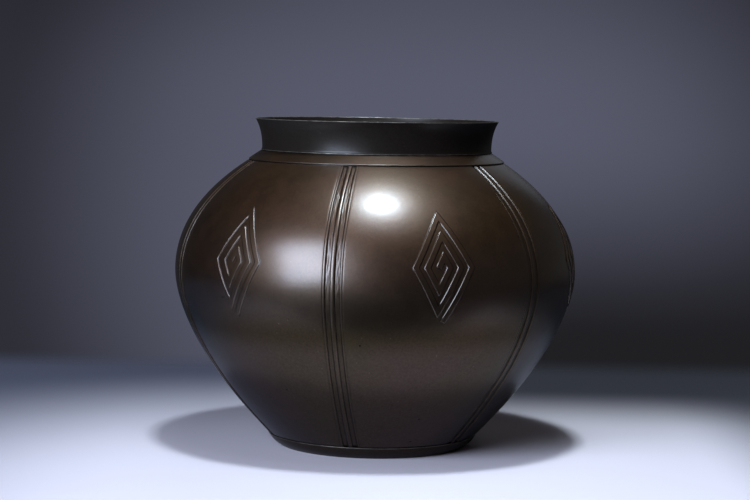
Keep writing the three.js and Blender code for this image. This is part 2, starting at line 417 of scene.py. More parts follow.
@dataclass(frozen=True)
class Band:
    """The upright band between two panels: two channels with a smooth ridge between them.

    A fine incised line runs along the outer side of each channel. The channels narrow towards the top
    and painted shade darkens their ends under the shoulder ring. The two reaches count rows of the mesh.
    """

    ridge: float = 2.8 * MM
    channel: float = 4.1 * MM
    channel_at_top: float = 3.3 * MM
    depth: float = 0.8 * MM
    crown: float = 0.05 * MM
    wall: float = 0.5 * MM
    line_gap: float = 1.35 * MM
    line_width: float = 0.5 * MM
    line_depth: float = 0.2 * MM
    half_width: float = 8.6 * MM
    roughness: float = 0.05 * MM
    chisel_reach: float = 1.3
    waver: float = 0.02 * MM
    waver_reach: float = 5.0
    narrowing: float = 60.0 * MM
    line_fade: float = 0.6
    notch: Span = (3.0 * MM, 1.2 * MM)
    notch_shade: float = 0.95
    least_groove: float = 0.1
    seed: int = 11

    @cached_property
    def stations(self) -> list[Station]:
        """The section's lines from the middle of the ridge out to the fine line.

        The wall's rows give the reach in wall widths, the height, the wear, the groove and the rough
        share. The fine line's rows give the reach in line widths, the depth in line depths, the wear and
        the groove.

        Returns:
            The lines of the right half, in order outwards.
        """
        deep = -self.depth
        # The channels' walls and floors and the fine line are marked into the groove, partly settled
        # grime and partly painted shade; the ridge's edges are marked rubbed, partly a painted
        # highlight.
        wall = [
            (-1.1, 0.0, 0.05, 0.0, 0.0),
            (-0.55, 0.03 * deep, 0.2, 0.0, 0.0),
            (-0.1, 0.2 * deep, 0.1, 0.3, 0.0),
            (0.6, 0.82 * deep, 0.0, 0.9, 0.0),
            (1.05, deep, 0.0, 1.0, 0.4),
            (1.5, deep, 0.0, 0.3, 0.8),
        ]
        section = [Station(0.0, 0.0, 0.0, self.crown), Station(0.55, 0.0, 0.0, self.crown * 0.7, 0.1)]
        for reach, height, wear, groove, rough in wall:
            offset = reach * self.wall
            section.append(Station(1.0, 0.0, offset, height, wear, groove, rough, Edge.RIDGE))
        for share in (0.28, 0.42, 0.5, 0.58, 0.72):
            section.append(Station(1.0, share, 0.0, deep, 0.0, 0.15, 1.0))
        for reach, height, wear, groove, rough in reversed(wall):
            offset = -reach * self.wall
            section.append(Station(1.0, 1.0, offset, height, wear, groove, rough, Edge.PANEL))
        middle = self.line_gap + self.line_width / 2
        for reach, depth, wear, groove in (
            (-0.8, 0.0, 0.0, 0.0),
            (-0.4, 0.15, 0.2, 0.2),
            (0.0, 1.0, 0.0, 0.8),
            (0.4, 0.15, 0.2, 0.2),
            (0.8, 0.0, 0.0, 0.0),
        ):
            offset = middle + reach * self.line_width
            height = -depth * self.line_depth
            section.append(Station(1.0, 1.0, offset, height, wear, groove, 0.0, Edge.LINE))
        return section

    def section(self, outline: Outline, along: np.ndarray, draws: np.random.Generator) -> Rows:
        """The band's surface, one row for each place along the outline.

        Args:
            outline: The body's outline.
            along: How far along the outline each row is.
            draws: The source of the chisel's unevenness.

        Returns:
            Arrays of one row for each place and one column for each line from left to right: the
            distance sideways, the height over the outline, the wear and the groove.
        """
        closing = smooth_step(along, outline.length - self.narrowing, outline.length)
        channel = self.channel + (self.channel_at_top - self.channel) * closing
        fade = 1.0 - self.line_fade * closing
        ending = smooth_step(along, outline.length - self.notch[0], outline.length - self.notch[1])
        count = len(along)
        left, right = [], []
        for hand, side in ((-1, left), (1, right)):
            wavers = {edge: wander(draws, count, self.waver_reach) * self.waver for edge in Edge}
            wavers[Edge.NONE] = np.zeros(count)
            for station in self.stations:
                sideways = self.ridge / 2 * station.ridge + channel * station.channel + station.offset
                rough = wander(draws, count, self.chisel_reach) * station.rough * self.roughness
                height = station.height * (fade if station.edge is Edge.LINE else 1.0) + rough
                place = hand * (sideways + wavers[station.edge])
                # Painted shade darkens the ends of the channels and their walls under the shoulder ring.
                notch = self.notch_shade * ending * (station.groove > self.least_groove)
                groove = np.maximum(station.groove, notch)
                marks = (np.full(count, station.wear) * (1.0 - ending), groove)
                side.append((place, np.broadcast_to(height, count), *marks))
            side.append((np.full(count, hand * self.half_width), *np.zeros((3, count))))
        every = left[:0:-1] + right
        names = ("sideways", "height", Mask.WEAR.value, Mask.GROOVE.value)
        return {name: np.stack([column[k] for column in every], 1) for k, name in enumerate(names)}


@dataclass(frozen=True)
class Fret:
    """The thunder fret of a panel: one strap wound as a square spiral on a lozenge lattice."""

    height: float = 86.0 * MM
    width: float = 46.0 * MM
    centre_rise: float = 15.0 * MM
    strap: float = 4.2 * MM
    relief: float = 0.64 * MM
    step: float = 3.4 * MM
    turns: tuple[tuple[float, float], ...] = (
        (-2.5, -2.5), (2.5, -2.5), (2.5, 2.5), (-2.5, 2.5), (-2.5, -1.5), (1.5, -1.5),
        (1.5, 1.5), (-1.5, 1.5), (-1.5, -0.5), (0.5, -0.5), (0.5, 0.5), (-0.5, 0.5),
    )

    @cached_property
    def path(self) -> np.ndarray:
        """The strap's middle line on the flat.

        Returns:
            Its corners, as places across and up the panel.
        """
        slope = math.atan2(self.height, self.width)
        cells = 2 * abs(self.turns[0][0])
        unit_across = (self.width / 2 - self.strap / 2 / math.sin(slope)) / cells
        unit_up = (self.height / 2 - self.strap / 2 / math.cos(slope)) / cells
        return np.array([((a - b) * unit_across, (a + b) * unit_up) for a, b in self.turns])

    @cached_property
    def section(self) -> list[tuple[float, float, float, float]]:
        """The strap's section from its soft foot up to its flat top.

        Returns:
            Its loops: how far inside the strap's edge each lies, its height, its wear and its groove.
        """
        # The strap's foot is marked into the groove, partly settled grime and partly painted shade where
        # it meets the panel; its rounded top edge is marked rubbed, partly wear and partly a painted
        # highlight.
        return [
            (-0.60 * MM, 0.0, 0.0, 0.0),
            (-0.12 * MM, 0.0, 0.0, 0.9),
            (0.06 * MM, 0.16 * self.relief, 0.0, 0.8),
            (0.28 * MM, 0.80 * self.relief, 0.2, 0.0),
            (0.46 * MM, 0.97 * self.relief, 0.6, 0.0),
            (0.72 * MM, self.relief, 0.1, 0.0),
            (1.10 * MM, self.relief, 0.0, 0.0),
        ]

    def loop(self, inside: float) -> np.ndarray:
        """The closed line that runs round the strap.

        Args:
            inside: How far inside the strap's edge it runs.

        Returns:
            Its points on the flat, close enough together to follow the belly.
        """
        half = self.strap / 2 - inside
        ways = np.diff(self.path, axis=0)
        ways /= np.hypot(*ways.T)[:, None]
        before = np.vstack([ways[:1], ways])
        after = np.vstack([ways, ways[-1:]])
        mitre = before + after
        mitre /= np.hypot(*mitre.T)[:, None]
        aside = np.stack([-mitre[:, 1], mitre[:, 0]], 1) * (half / (mitre * after).sum(1))[:, None]
        sides = [self.path + aside, self.path - aside]
        for side in sides:
            side[0] += ways[0] * inside
            side[-1] -= ways[-1] * inside
        corners = np.vstack([sides[0], sides[1][::-1]])
        line = []
        for here, there in zip(corners, np.roll(corners, -1, axis=0)):
            parts = max(1, round(float(np.hypot(*(there - here))) / self.step))
            line.append(here + (there - here) * (np.arange(parts) / parts)[:, None])
        return np.vstack(line)

    def clearance(self, places: np.ndarray) -> np.ndarray:
        """How far places on the flat are from the strap's middle line.

        Args:
            places: The places, across and up the panel.

        Returns:
            The distance of each.
        """
        nearest = np.full(len(places), np.inf)
        for here, there in zip(self.path[:-1], self.path[1:]):
            way = there - here
            share = np.clip(((places - here) @ way) / (way @ way), 0.0, 1.0)
            nearest = np.minimum(nearest, np.hypot(*(places - here - share[:, None] * way).T))
        return nearest


@dataclass(frozen=True)
class PanelSkin:
    """One panel's surface on the flat, as places that every panel repeats."""

    angle: np.ndarray
    along: np.ndarray
    height: np.ndarray
    wear: np.ndarray
    groove: np.ndarray
    faces: Faces
    ends: dict[bool, np.ndarray]


class Piece:
    """A piece of the vase, which knows the CAD node that it stands for."""

    node: str
    slot: Slot

    def build(self) -> bpy.types.Object:
        """Makes the piece's mesh."""
        raise NotImplementedError

    def dress(self, piece: bpy.types.Object) -> None:
        """Gives the piece its finishes."""
        raise NotImplementedError

    def fit(self) -> bpy.types.Object:
        """Builds and dresses the piece and puts it in its node's place.

        Returns:
            The finished piece.
        """
        piece = self.build()
        self.dress(piece)
        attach(piece, BODY)
        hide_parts(self.node)
        log.info("%s: %d faces, %s", piece.name, len(piece.data.polygons), self.slot.value)
        return piece


@dataclass(frozen=True)
class CastBody(Piece):
    """The cast body: six panels with their frets, parted by six bands, over a 3 mm wall.

    The gaps and the first row are shares of the grid's step, and what counts as touching is in
    millimetres.
    """

    outline: Outline
    outside: "Patina"
    inside: "Patina"
    band: Band = Band()
    fret: Fret = Fret()
    row_step: float = 1.35 * MM
    bevel: float = 0.8 * MM
    bevel_steps: int = 4
    # The joint bevels are lightened outside, partly a painted highlight, and darkened into the joint,
    # partly painted shade.
    bevel_wear: float = 0.5
    bevel_groove: float = 0.9
    bevel_dark: Span = (0.3, 1.0)
    wall: float = 3.0 * MM
    foot_bore: float = 74.7 * MM
    mouth_bore: float = 91.6 * MM
    seat_margin: float = 0.8 * MM
    panel_steps: int = 24
    grid_step: float = 4.0 * MM
    first_row: float = 0.6
    border_gap: float = 0.4
    fret_gap: float = 0.25
    touching: float = 1e-4
    lining_groove: float = 0.5
    wall_columns: int = 96
    wall_rows: int = 60
    node: str = "body_shell"
    slot: Slot = Slot.BROWN

    @cached_property
    def along(self) -> np.ndarray:
        """How far along the outline the rows between the two joints' bevels are."""
        count = round((self.outline.length - 2 * self.bevel) / self.row_step)
        return np.linspace(self.bevel, self.outline.length - self.bevel, count + 1)

    def half_angle(self, along: np.ndarray) -> np.ndarray:
        """The angle from a panel's middle to its borders at places along the outline."""
        radius, _ = self.outline.at(along)
        return PANEL_TURN / 2 - np.arcsin(self.band.half_width / radius)

    def panel(self) -> PanelSkin:
        """The surface of one panel with its fret, as triangles.

        Returns:
            The panel's surface.
        """
        rows = self.along
        count = len(rows)
        side = self.half_angle(rows)
        ends = {}
        border_angle = [-side]
        border_along = [rows]
        for at_top in (True, False):
            row = count - 1 if at_top else 0
            across = np.linspace(-side[row], side[row], self.panel_steps + 1)[1:-1]
            ends[at_top] = across
            border_angle.append(across if at_top else across[::-1])
            border_along.append(np.full(len(across), rows[row]))
            if at_top:
                border_angle.append(side[::-1])
                border_along.append(rows[::-1])
        angle, along = np.concatenate(border_angle), np.concatenate(border_along)
        loops = [np.arange(len(angle))]
        parts = [np.vstack([angle, along, np.zeros((3, len(angle)))])]
        middle = self.outline.belly_along + self.fret.centre_rise
        for inside, *marks in self.fret.section:
            line = self.fret.loop(inside)
            line_along = middle + line[:, 1]
            radius, _ = self.outline.at(line_along)
            loops.append(np.arange(len(line)) + sum(part.shape[1] for part in parts))
            spread = np.repeat(np.array(marks)[:, None], len(line), axis=1)
            parts.append(np.vstack([line[:, 0] / radius, line_along, spread]))
        grid = self._grid(middle)
        parts.append(np.vstack([*grid, np.zeros((3, len(grid[0])))]))
        places = np.hstack(parts)
        edges = [(int(a), int(b)) for loop in loops for a, b in zip(loop, np.roll(loop, -1))]
        return PanelSkin(*places, self._triangles(places[0], places[1], edges), ends)

    def _grid(self, middle: float) -> tuple[np.ndarray, np.ndarray]:
        """Places spread over a panel clear of its borders and its fret.

        Args:
            middle: How far along the outline the fret's middle is.

        Returns:
            Their angles from the panel's middle and how far along they are.
        """
        step = self.grid_step
        first, last = self.along[0] + step * self.first_row, self.along[-1] - step * self.border_gap
        rows = np.arange(first, last, step * math.sin(math.pi / 3))
        reach = PANEL_TURN / 2 * self.outline.belly_radius
        columns = np.arange(-math.ceil(reach / step), math.ceil(reach / step) + 1) * step
        shift = (np.arange(len(rows)) % 2)[:, None] * step / 2
        across = (columns[None, :] + shift).ravel()
        along = np.repeat(rows, len(columns))
        angle = across / self.outline.belly_radius
        radius, _ = self.outline.at(along)
        margin = step * self.border_gap / self.outline.belly_radius
        keep = np.abs(angle) < self.half_angle(along) - margin
        clear = self.fret.clearance(np.stack([angle * radius, along - middle], 1))
        keep &= clear > self.fret.strap / 2 - self.fret.section[0][0] + step * self.fret_gap
        return angle[keep], along[keep]

    def _triangles(self, angle: np.ndarray, along: np.ndarray, edges: list[tuple[int, int]]) -> Faces:
        """Fills a panel's flat with triangles between its lines.

        Args:
            angle: The points' angles from the panel's middle.
            along: How far along the outline they are.
            edges: The pairs of points that lines join.

        Returns:
            The triangles as indices of the points.
        """
        flat = [Vector((u, v)) for u, v in zip(angle * self.outline.belly_radius / MM, along / MM)]
        _, _, faces, sources, _, _ = delaunay_2d_cdt(flat, edges, [], INSIDE_ONLY, self.touching)
        return [[sources[corner][0] for corner in face] for face in faces]

    def build(self) -> bpy.types.Object:
        """Makes the body's mesh.

        Returns:
            The body, not yet dressed.
        """
        skin = Skin(self.node)
        draws = np.random.default_rng(self.band.seed)
        rings: dict[bool, list[Rows]] = {True: [], False: []}
        panel = self.panel()
        radius, level = self.outline.at(panel.along, panel.height)
        for turn in range(PANELS):
            self._add_band(skin, turn * PANEL_TURN, draws, rings)
            middle = (turn + 0.5) * PANEL_TURN
            places = around(radius, panel.angle + middle, level)
            first = skin.add_points(places, panel.wear, panel.groove)
            skin.add_faces([[first + corner for corner in face] for face in panel.faces])
            for at_top, across in panel.ends.items():
                still = np.zeros(len(across))
                rings[at_top].append({"angle": across + middle, "height": still, "groove": still})
        for at_top, parts in rings.items():
            ring = {name: np.concatenate([part[name] for part in parts]) for name in parts[0]}
            self._add_joint(skin, ring, at_top)
        return skin.build()

    def _add_band(
        self, skin: Skin, turn: float, draws: np.random.Generator, rings: dict[bool, list[Rows]]
    ) -> None:
        """Adds one band and notes how it ends at the two joints.

        Args:
            skin: The mesh that it goes into.
            turn: The angle of the band's middle.
            draws: The source of the chisel's unevenness.
            rings: The lists of ring parts at the top and at the bottom.
        """
        section = self.band.section(self.outline, self.along, draws)
        radius, level = self.outline.at(self.along[:, None], section["height"])
        angle = turn + np.arcsin(section["sideways"] / radius)
        rows, columns = angle.shape
        first = skin.add_points(around(radius, angle, level), section["wear"], section["groove"])
        skin.add_grid(first, rows, columns, closed=False)
        for at_top, row in ((True, -1), (False, 0)):
            names = {"angle": angle, "height": section["height"], "groove": section["groove"]}
            rings[at_top].append({name: values[row] for name, values in names.items()})

    def _add_joint(self, skin: Skin, ring: Rows, at_top: bool) -> None:
        """Rounds the outside over onto a joint's flat seat and carries on down the lining.

        Args:
            skin: The mesh that it goes into.
            ring: The angle, height over the outline and groove of each column at this end.
            at_top: Whether this is the shoulder joint rather than the foot joint.
        """
        edge = self.along[-1] if at_top else self.along[0]
        plane = self.outline.top if at_top else self.outline.bottom
        bore = self.mouth_bore if at_top else self.foot_bore
        radius, level = self.outline.at(np.full(len(ring["angle"]), edge), ring["height"])
        way_out, way_up = self.outline.way(edge)
        corner = radius + way_out * (plane - level) / way_up
        first = skin.count
        for share in np.linspace(0.0, 1.0, self.bevel_steps + 1):
            blend = ((1 - share) ** 2, 2 * share * (1 - share), share**2)
            out = blend[0] * radius + blend[1] * corner + blend[2] * (corner - self.bevel)
            up = blend[0] * level + (blend[1] + blend[2]) * plane
            # Darker into the joint's gap: partly settled grime, partly painted shade; the outer bevel is
            # marked rubbed, partly a painted highlight.
            dark = self.bevel_groove * smooth_step(np.array(share), *self.bevel_dark)
            wear = self.bevel_wear * (1 - share) * (share > 0)
            skin.add_points(around(out, ring["angle"], up), wear, np.maximum(ring["groove"], dark))
        seat = np.full(len(radius), bore + self.seat_margin)
        last = skin.add_points(around(seat, ring["angle"], plane), groove=1.0)
        skin.add_grid(first, self.bevel_steps + 2, len(radius), closed=True)
        self._add_lining(skin, at_top, last + np.arange(len(radius)))

    def _add_lining(self, skin: Skin, at_top: bool, seat: np.ndarray) -> None:
        """Joins a seat's inner edge to half of the lining, which the other half meets at the belly.

        Args:
            skin: The mesh that it goes into.
            at_top: Whether this is the shoulder joint rather than the foot joint.
            seat: The indices of the seat's ring of points.
        """
        line = self._lining(at_top)
        turns = np.arange(self.wall_columns) * 2 * math.pi / self.wall_columns
        first = skin.count
        for radius, level in line:
            places = around(np.full(len(turns), radius), turns, level)
            skin.add_points(places, groove=self.lining_groove)
        skin.add_grid(first, len(line), self.wall_columns, closed=True, finish=1)
        skin.stitch(seat, first + np.arange(self.wall_columns), finish=1)

    def _lining(self, at_top: bool) -> np.ndarray:
        """The inner face's outline from one bore to the belly.

        Args:
            at_top: Whether it starts at the mouth rather than at the foot.

        Returns:
            Its points, each a radius and a height.
        """
        end = self.outline.length if at_top else 0.0
        along = np.linspace(end, self.outline.belly_along, self.wall_rows // 2)
        radius, level = self.outline.at(along, -self.wall)
        start = (self.mouth_bore, self.outline.top) if at_top else (self.foot_bore, self.outline.bottom)
        return np.vstack([[start], np.stack([radius, level], 1)])

    def dress(self, piece: bpy.types.Object) -> None:
        """Patina outside and the rougher, darker patina inside."""
        for finish in (self.outside, self.inside):
            piece.data.materials.append(finish.material())


@dataclass(frozen=True)
class Corner:
    """A corner of a turned piece's section."""

    radius: float
    height: float
    rounding: float = 0.0
    # Wear lightens a corner, partly as a painted highlight; groove darkens it, partly as painted shade
    # in joints and gaps.
    wear: float = 0.0
    groove: float = 0.0


@dataclass(frozen=True)
class Turned(Piece):
    """A piece of revolution, turned from the corners of its section.

    The support is how far from a corner, in roundings, a loop keeps the flat beside it flat.
    """

    finish: "Patina"
    columns: int = 192
    arc_steps: int = 4
    support: float = 1.7

    def corners(self) -> list[Corner]:
        """The corners of the section, in order round it."""
        raise NotImplementedError

    def section(self) -> np.ndarray:
        """The section's outline with its corners rounded.

        Returns:
            An array of one row for each point: radius, height, wear and groove.
        """
        corners = self.corners()
        rows = []
        for index, corner in enumerate(corners):
            here = np.array([corner.radius, corner.height])
            if corner.rounding == 0.0:
                rows.append([*here, corner.wear, corner.groove])
                continue
            arms = []
            for other in (corners[index - 1], corners[(index + 1) % len(corners)]):
                arm = np.array([other.radius, other.height]) - here
                arms.append(arm / np.hypot(*arm))
            reach = corner.rounding
            start, end = (here + arm * reach for arm in arms)
            rows.append([*(here + arms[0] * reach * self.support), 0.0, corner.groove])
            for point in bezier([tuple(start), tuple(here), tuple(end)], self.arc_steps):
                rows.append([*point, corner.wear, corner.groove])
            rows.append([*(here + arms[1] * reach * self.support), 0.0, corner.groove])
        return np.array(rows)

    def build(self) -> bpy.types.Object:
        """Turns the section about the axis.

        Returns:
            The piece, not yet dressed.
        """
        skin = Skin(self.node)
        section = self.section()
        turns = np.arange(self.columns) * 2 * math.pi / self.columns
        for radius, height, wear, groove in np.vstack([section, section[:1]]):
            skin.add_points(around(np.full(self.columns, radius), turns, height), wear, groove)
        skin.add_grid(0, len(section) + 1, self.columns, closed=True)
        return skin.build()

    def dress(self, piece: bpy.types.Object) -> None:
        """Gives the piece its one finish."""
        piece.data.materials.append(self.finish.material())


def run(points: np.ndarray, wear: float = 0.0, groove: float = 0.0) -> list[Corner]:
    """Closely spaced points of a curve as corners that need no rounding."""
    return [Corner(radius, height, 0.0, wear, groove) for radius, height in points]


@dataclass(frozen=True)
class ShoulderRing(Turned):
    """The plain sloping ring over the body's mouth, with the register that drops into it."""

    joint_radius: float = 94.6 * MM
    lip_radius: float = 95.8 * MM
    lip_rise: float = 1.15 * MM
    gap: float = 0.4 * MM
    register: float = 4.0 * MM
    register_depth: float = 2.5 * MM
    register_radius: float = 91.3 * MM
    top_radius: float = 86.6 * MM
    bore: float = 83.8 * MM
    skirt: float = 6.4 * MM
    belly: float = 0.12 * MM
    slope_steps: int = 12
    node: str = "shoulder_ring"
    slot: Slot = Slot.BROWN

    def corners(self) -> list[Corner]:
        """The ring's section from the foot of its register round over its slope.

        Returns:
            The corners, in order round it.
        """
        low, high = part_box(self.node)
        seat = low.z + self.register_depth
        lip = (self.lip_radius, seat + self.lip_rise)
        top = (self.top_radius, high.z)
        bulge = ((lip[0] + top[0]) / 2 + self.belly, (lip[1] + top[1]) / 2 + self.belly)
        slope = bezier([lip, bulge, top], self.slope_steps)[2:-2]
        return [
            Corner(self.register_radius, low.z, 0.3 * MM),
            Corner(self.register_radius, seat, groove=1.0),
            Corner(self.joint_radius, seat, groove=1.0),
            Corner(self.joint_radius, seat + self.gap, groove=1.0),
            Corner(self.lip_radius - self.gap / 2, seat + self.gap, 0.12 * MM, 0.3, 0.3),
            # The lip is marked rubbed: partly wear, partly a painted highlight along it.
            Corner(*lip, 0.22 * MM, 1.0),
            *run(slope),
            Corner(*top, 0.3 * MM, 0.7, 0.6),
            Corner(self.bore, high.z, 0.2 * MM, groove=1.0),
            Corner(self.bore, high.z - self.skirt, 0.2 * MM),
            Corner(self.register_radius - self.register, low.z, 0.3 * MM),
        ]


@dataclass(frozen=True)
class NeckCollar(Turned):
    """The turned neck, upright at its foot and flaring to a thin lip, with a spigot below."""

    base_radius: float = 86.55 * MM
    gap_radius: float = 85.8 * MM
    gap: float = 0.45 * MM
    bead: float = 0.35 * MM
    neck_radius: float = 86.0 * MM
    fillet_rise: float = 1.9 * MM
    spigot: float = 4.8 * MM
    spigot_radius: float = 83.5 * MM
    bore: float = 81.3 * MM
    upright: float = 15.5 * MM
    lip: float = 1.3 * MM
    flare_out: float = 7.7 * MM
    flare_drop: float = 5.0 * MM
    throat_out: float = 0.3 * MM
    throat_rise: float = 5.2 * MM
    steps: int = 36
    node: str = "neck_collar"
    slot: Slot = Slot.DARK

    def corners(self) -> list[Corner]:
        """The collar's section from its spigot round over the lip and down the bore.

        Returns:
            The corners, in order round it.
        """
        low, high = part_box(self.node)
        joint = low.z + self.spigot
        bend = joint + self.upright
        outside = bezier(
            [(self.neck_radius, joint + self.fillet_rise), (self.neck_radius, bend), (high.x, high.z)],
            self.steps,
        )
        inside = bezier(
            [
                (high.x - self.lip, high.z),
                (self.bore + self.flare_out, high.z - self.flare_drop),
                (self.bore + self.throat_out, joint + self.throat_rise),
                (self.bore, joint),
            ],
            self.steps,
        )
        return [
            Corner(self.spigot_radius, low.z, 0.2 * MM),
            Corner(self.spigot_radius, joint, groove=1.0),
            Corner(self.gap_radius, joint, groove=1.0),
            Corner(self.gap_radius, joint + self.gap, groove=1.0),
            Corner(self.base_radius, joint + self.gap, 0.1 * MM, groove=0.5),
            # The bead is marked rubbed, a light line round the neck's foot: partly wear, partly a
            # painted highlight.
            Corner(self.base_radius, joint + self.gap + self.bead, 0.12 * MM, 0.9),
            *run(outside[:-1]),
            # The lip is marked rubbed: partly wear, partly a painted highlight along it.
            Corner(high.x, high.z, 0.4 * MM, 1.0),
            Corner(high.x - self.lip, high.z, 0.4 * MM, 1.0),
            *run(inside[1:-1]),
            Corner(self.bore, joint),
            Corner(self.bore, low.z, 0.3 * MM),
        ]


@dataclass(frozen=True)
class FootRing(Turned):
    """The foot: a rounded skirt under the body, a register inside it and a shelf for the plate."""

    standing_radius: float = 69.9 * MM
    edge: float = 0.6 * MM
    ring_bore: float = 65.5 * MM
    bulge: float = 1.414 * MM
    top_radius: float = 78.9 * MM
    seat_radius: float = 78.3 * MM
    bevel: float = 0.8 * MM
    register_radius: float = 74.4 * MM
    register_depth: float = 2.5 * MM
    plate_bore: float = 69.5 * MM
    recess: float = 5.6 * MM
    skirt_steps: int = 24
    node: str = "foot_ring"
    slot: Slot = Slot.DARK

    def corners(self) -> list[Corner]:
        """The foot's section from its standing edge round over the register.

        Returns:
            The corners, in order round it.
        """
        low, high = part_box(self.node)
        seat = high.z - self.register_depth
        bottom = (self.standing_radius + self.edge, low.z + self.edge)
        top = (self.top_radius, seat - self.bevel)
        bend = ((bottom[0] + top[0]) / 2 + self.bulge, (bottom[1] + top[1]) / 2 - self.bulge)
        return [
            Corner(self.ring_bore, low.z, 0.3 * MM),
            Corner(self.standing_radius, low.z, 0.2 * MM, 0.6),
            Corner(*bottom, 0.2 * MM, 0.4),
            *run(bezier([bottom, bend, top], self.skirt_steps)[1:-1]),
            # The top edge is marked rubbed: partly wear, partly a painted highlight along it.
            Corner(*top, 0.25 * MM, 0.3),
            Corner(self.seat_radius, seat, 0.2 * MM, groove=1.0),
            Corner(self.register_radius, seat, groove=1.0),
            Corner(self.register_radius, high.z, 0.3 * MM),
            Corner(self.plate_bore, high.z, 0.3 * MM),
            Corner(self.plate_bore, low.z + self.recess),
            Corner(self.ring_bore, low.z + self.recess, 0.3 * MM),
        ]


@dataclass(frozen=True)
class BasePlate(Turned):
    """The round plate that closes the bottom, with the turning centre and two scribed rings."""

    centre: float = 1.2 * MM
    centre_depth: float = 0.5 * MM
    rings: tuple[float, ...] = (22.0 * MM, 44.0 * MM)
    ring_width: float = 0.8 * MM
    ring_depth: float = 0.25 * MM
    node: str = "base_plate"
    slot: Slot = Slot.DARK

    def corners(self) -> list[Corner]:
        """The plate's section from the turning centre underneath round to its upper face.

        Returns:
            The corners, in order round it.
        """
        low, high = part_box(self.node)
        under = [Corner(0.0, low.z + self.centre_depth, groove=1.0), Corner(self.centre, low.z)]
        for radius in self.rings:
            under += [
                Corner(radius - self.ring_width, low.z),
                Corner(radius - self.ring_width / 2, low.z, wear=0.5),
                Corner(radius, low.z + self.ring_depth, groove=1.0),
                Corner(radius + self.ring_width / 2, low.z, wear=0.5),
                Corner(radius + self.ring_width, low.z),
            ]
        return [
            *under,
            Corner(high.x, low.z, 0.3 * MM, 0.4),
            Corner(high.x, high.z, 0.3 * MM, 0.4),
            Corner(0.0, high.z),
        ]


@dataclass(frozen=True)
class SolderSeam(Piece):
    """Solder run round a joint from inside: an uneven bead in the corner of the two pieces.

    The sag is how far the bead's face bows towards the corner, the unevenness is how much the bead
    shrinks, and the swell's reach counts columns of the mesh.
    """

    node: str
    finish: "Patina"
    seed: int
    slot: Slot = Slot.SOLDER
    columns: int = 192
    sag: float = 0.24
    unevenness: float = 0.07
    swell_reach: float = 3.0
    touching: float = 0.01 * MM
    steps: int = 5

    def corner_points(self) -> np.ndarray:
        """The three corners of the seam's section in the frame.

        Returns:
            The radius and the height of each, the joint's own corner first.
        """
        places = np.array([vertex.co[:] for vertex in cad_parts[self.node].data.vertices])
        flat = np.stack([np.hypot(places[:, 0], places[:, 1]), places[:, 2]], 1)
        corners = flat[np.unique(np.round(flat / self.touching), axis=0, return_index=True)[1]]
        far = [np.hypot(*(corners - corner).T).sum() for corner in corners]
        return corners[np.argsort(far)][:3]

    def build(self) -> bpy.types.Object:
        """Runs the bead round the joint.

        Returns:
            The seam, not yet dressed.
        """
        root, *feet = self.corner_points()
        middle = (feet[0] + feet[1]) / 2
        hollow = middle + (root - middle) * self.sag
        face = bezier([tuple(feet[0]), tuple(2 * hollow - middle), tuple(feet[1])], self.steps)
        section = np.vstack([[root], face])
        draws = np.random.default_rng(self.seed)
        uneven = np.abs(wander(draws, self.columns, self.swell_reach, closed=True))
        swell = 1.0 - self.unevenness * uneven
        turns = np.arange(self.columns) * 2 * math.pi / self.columns
        skin = Skin(self.node)
        for radius, height in np.vstack([section, section[:1]]):
            out = root[0] + (radius - root[0]) * swell
            skin.add_points(around(out, turns, root[1] + (height - root[1]) * swell))
        skin.add_grid(0, len(section) + 1, self.columns, closed=True)
        return skin.build()

    def dress(self, piece: bpy.types.Object) -> None:
        """Gives the seam its solder finish."""
        piece.data.materials.append(self.finish.material())


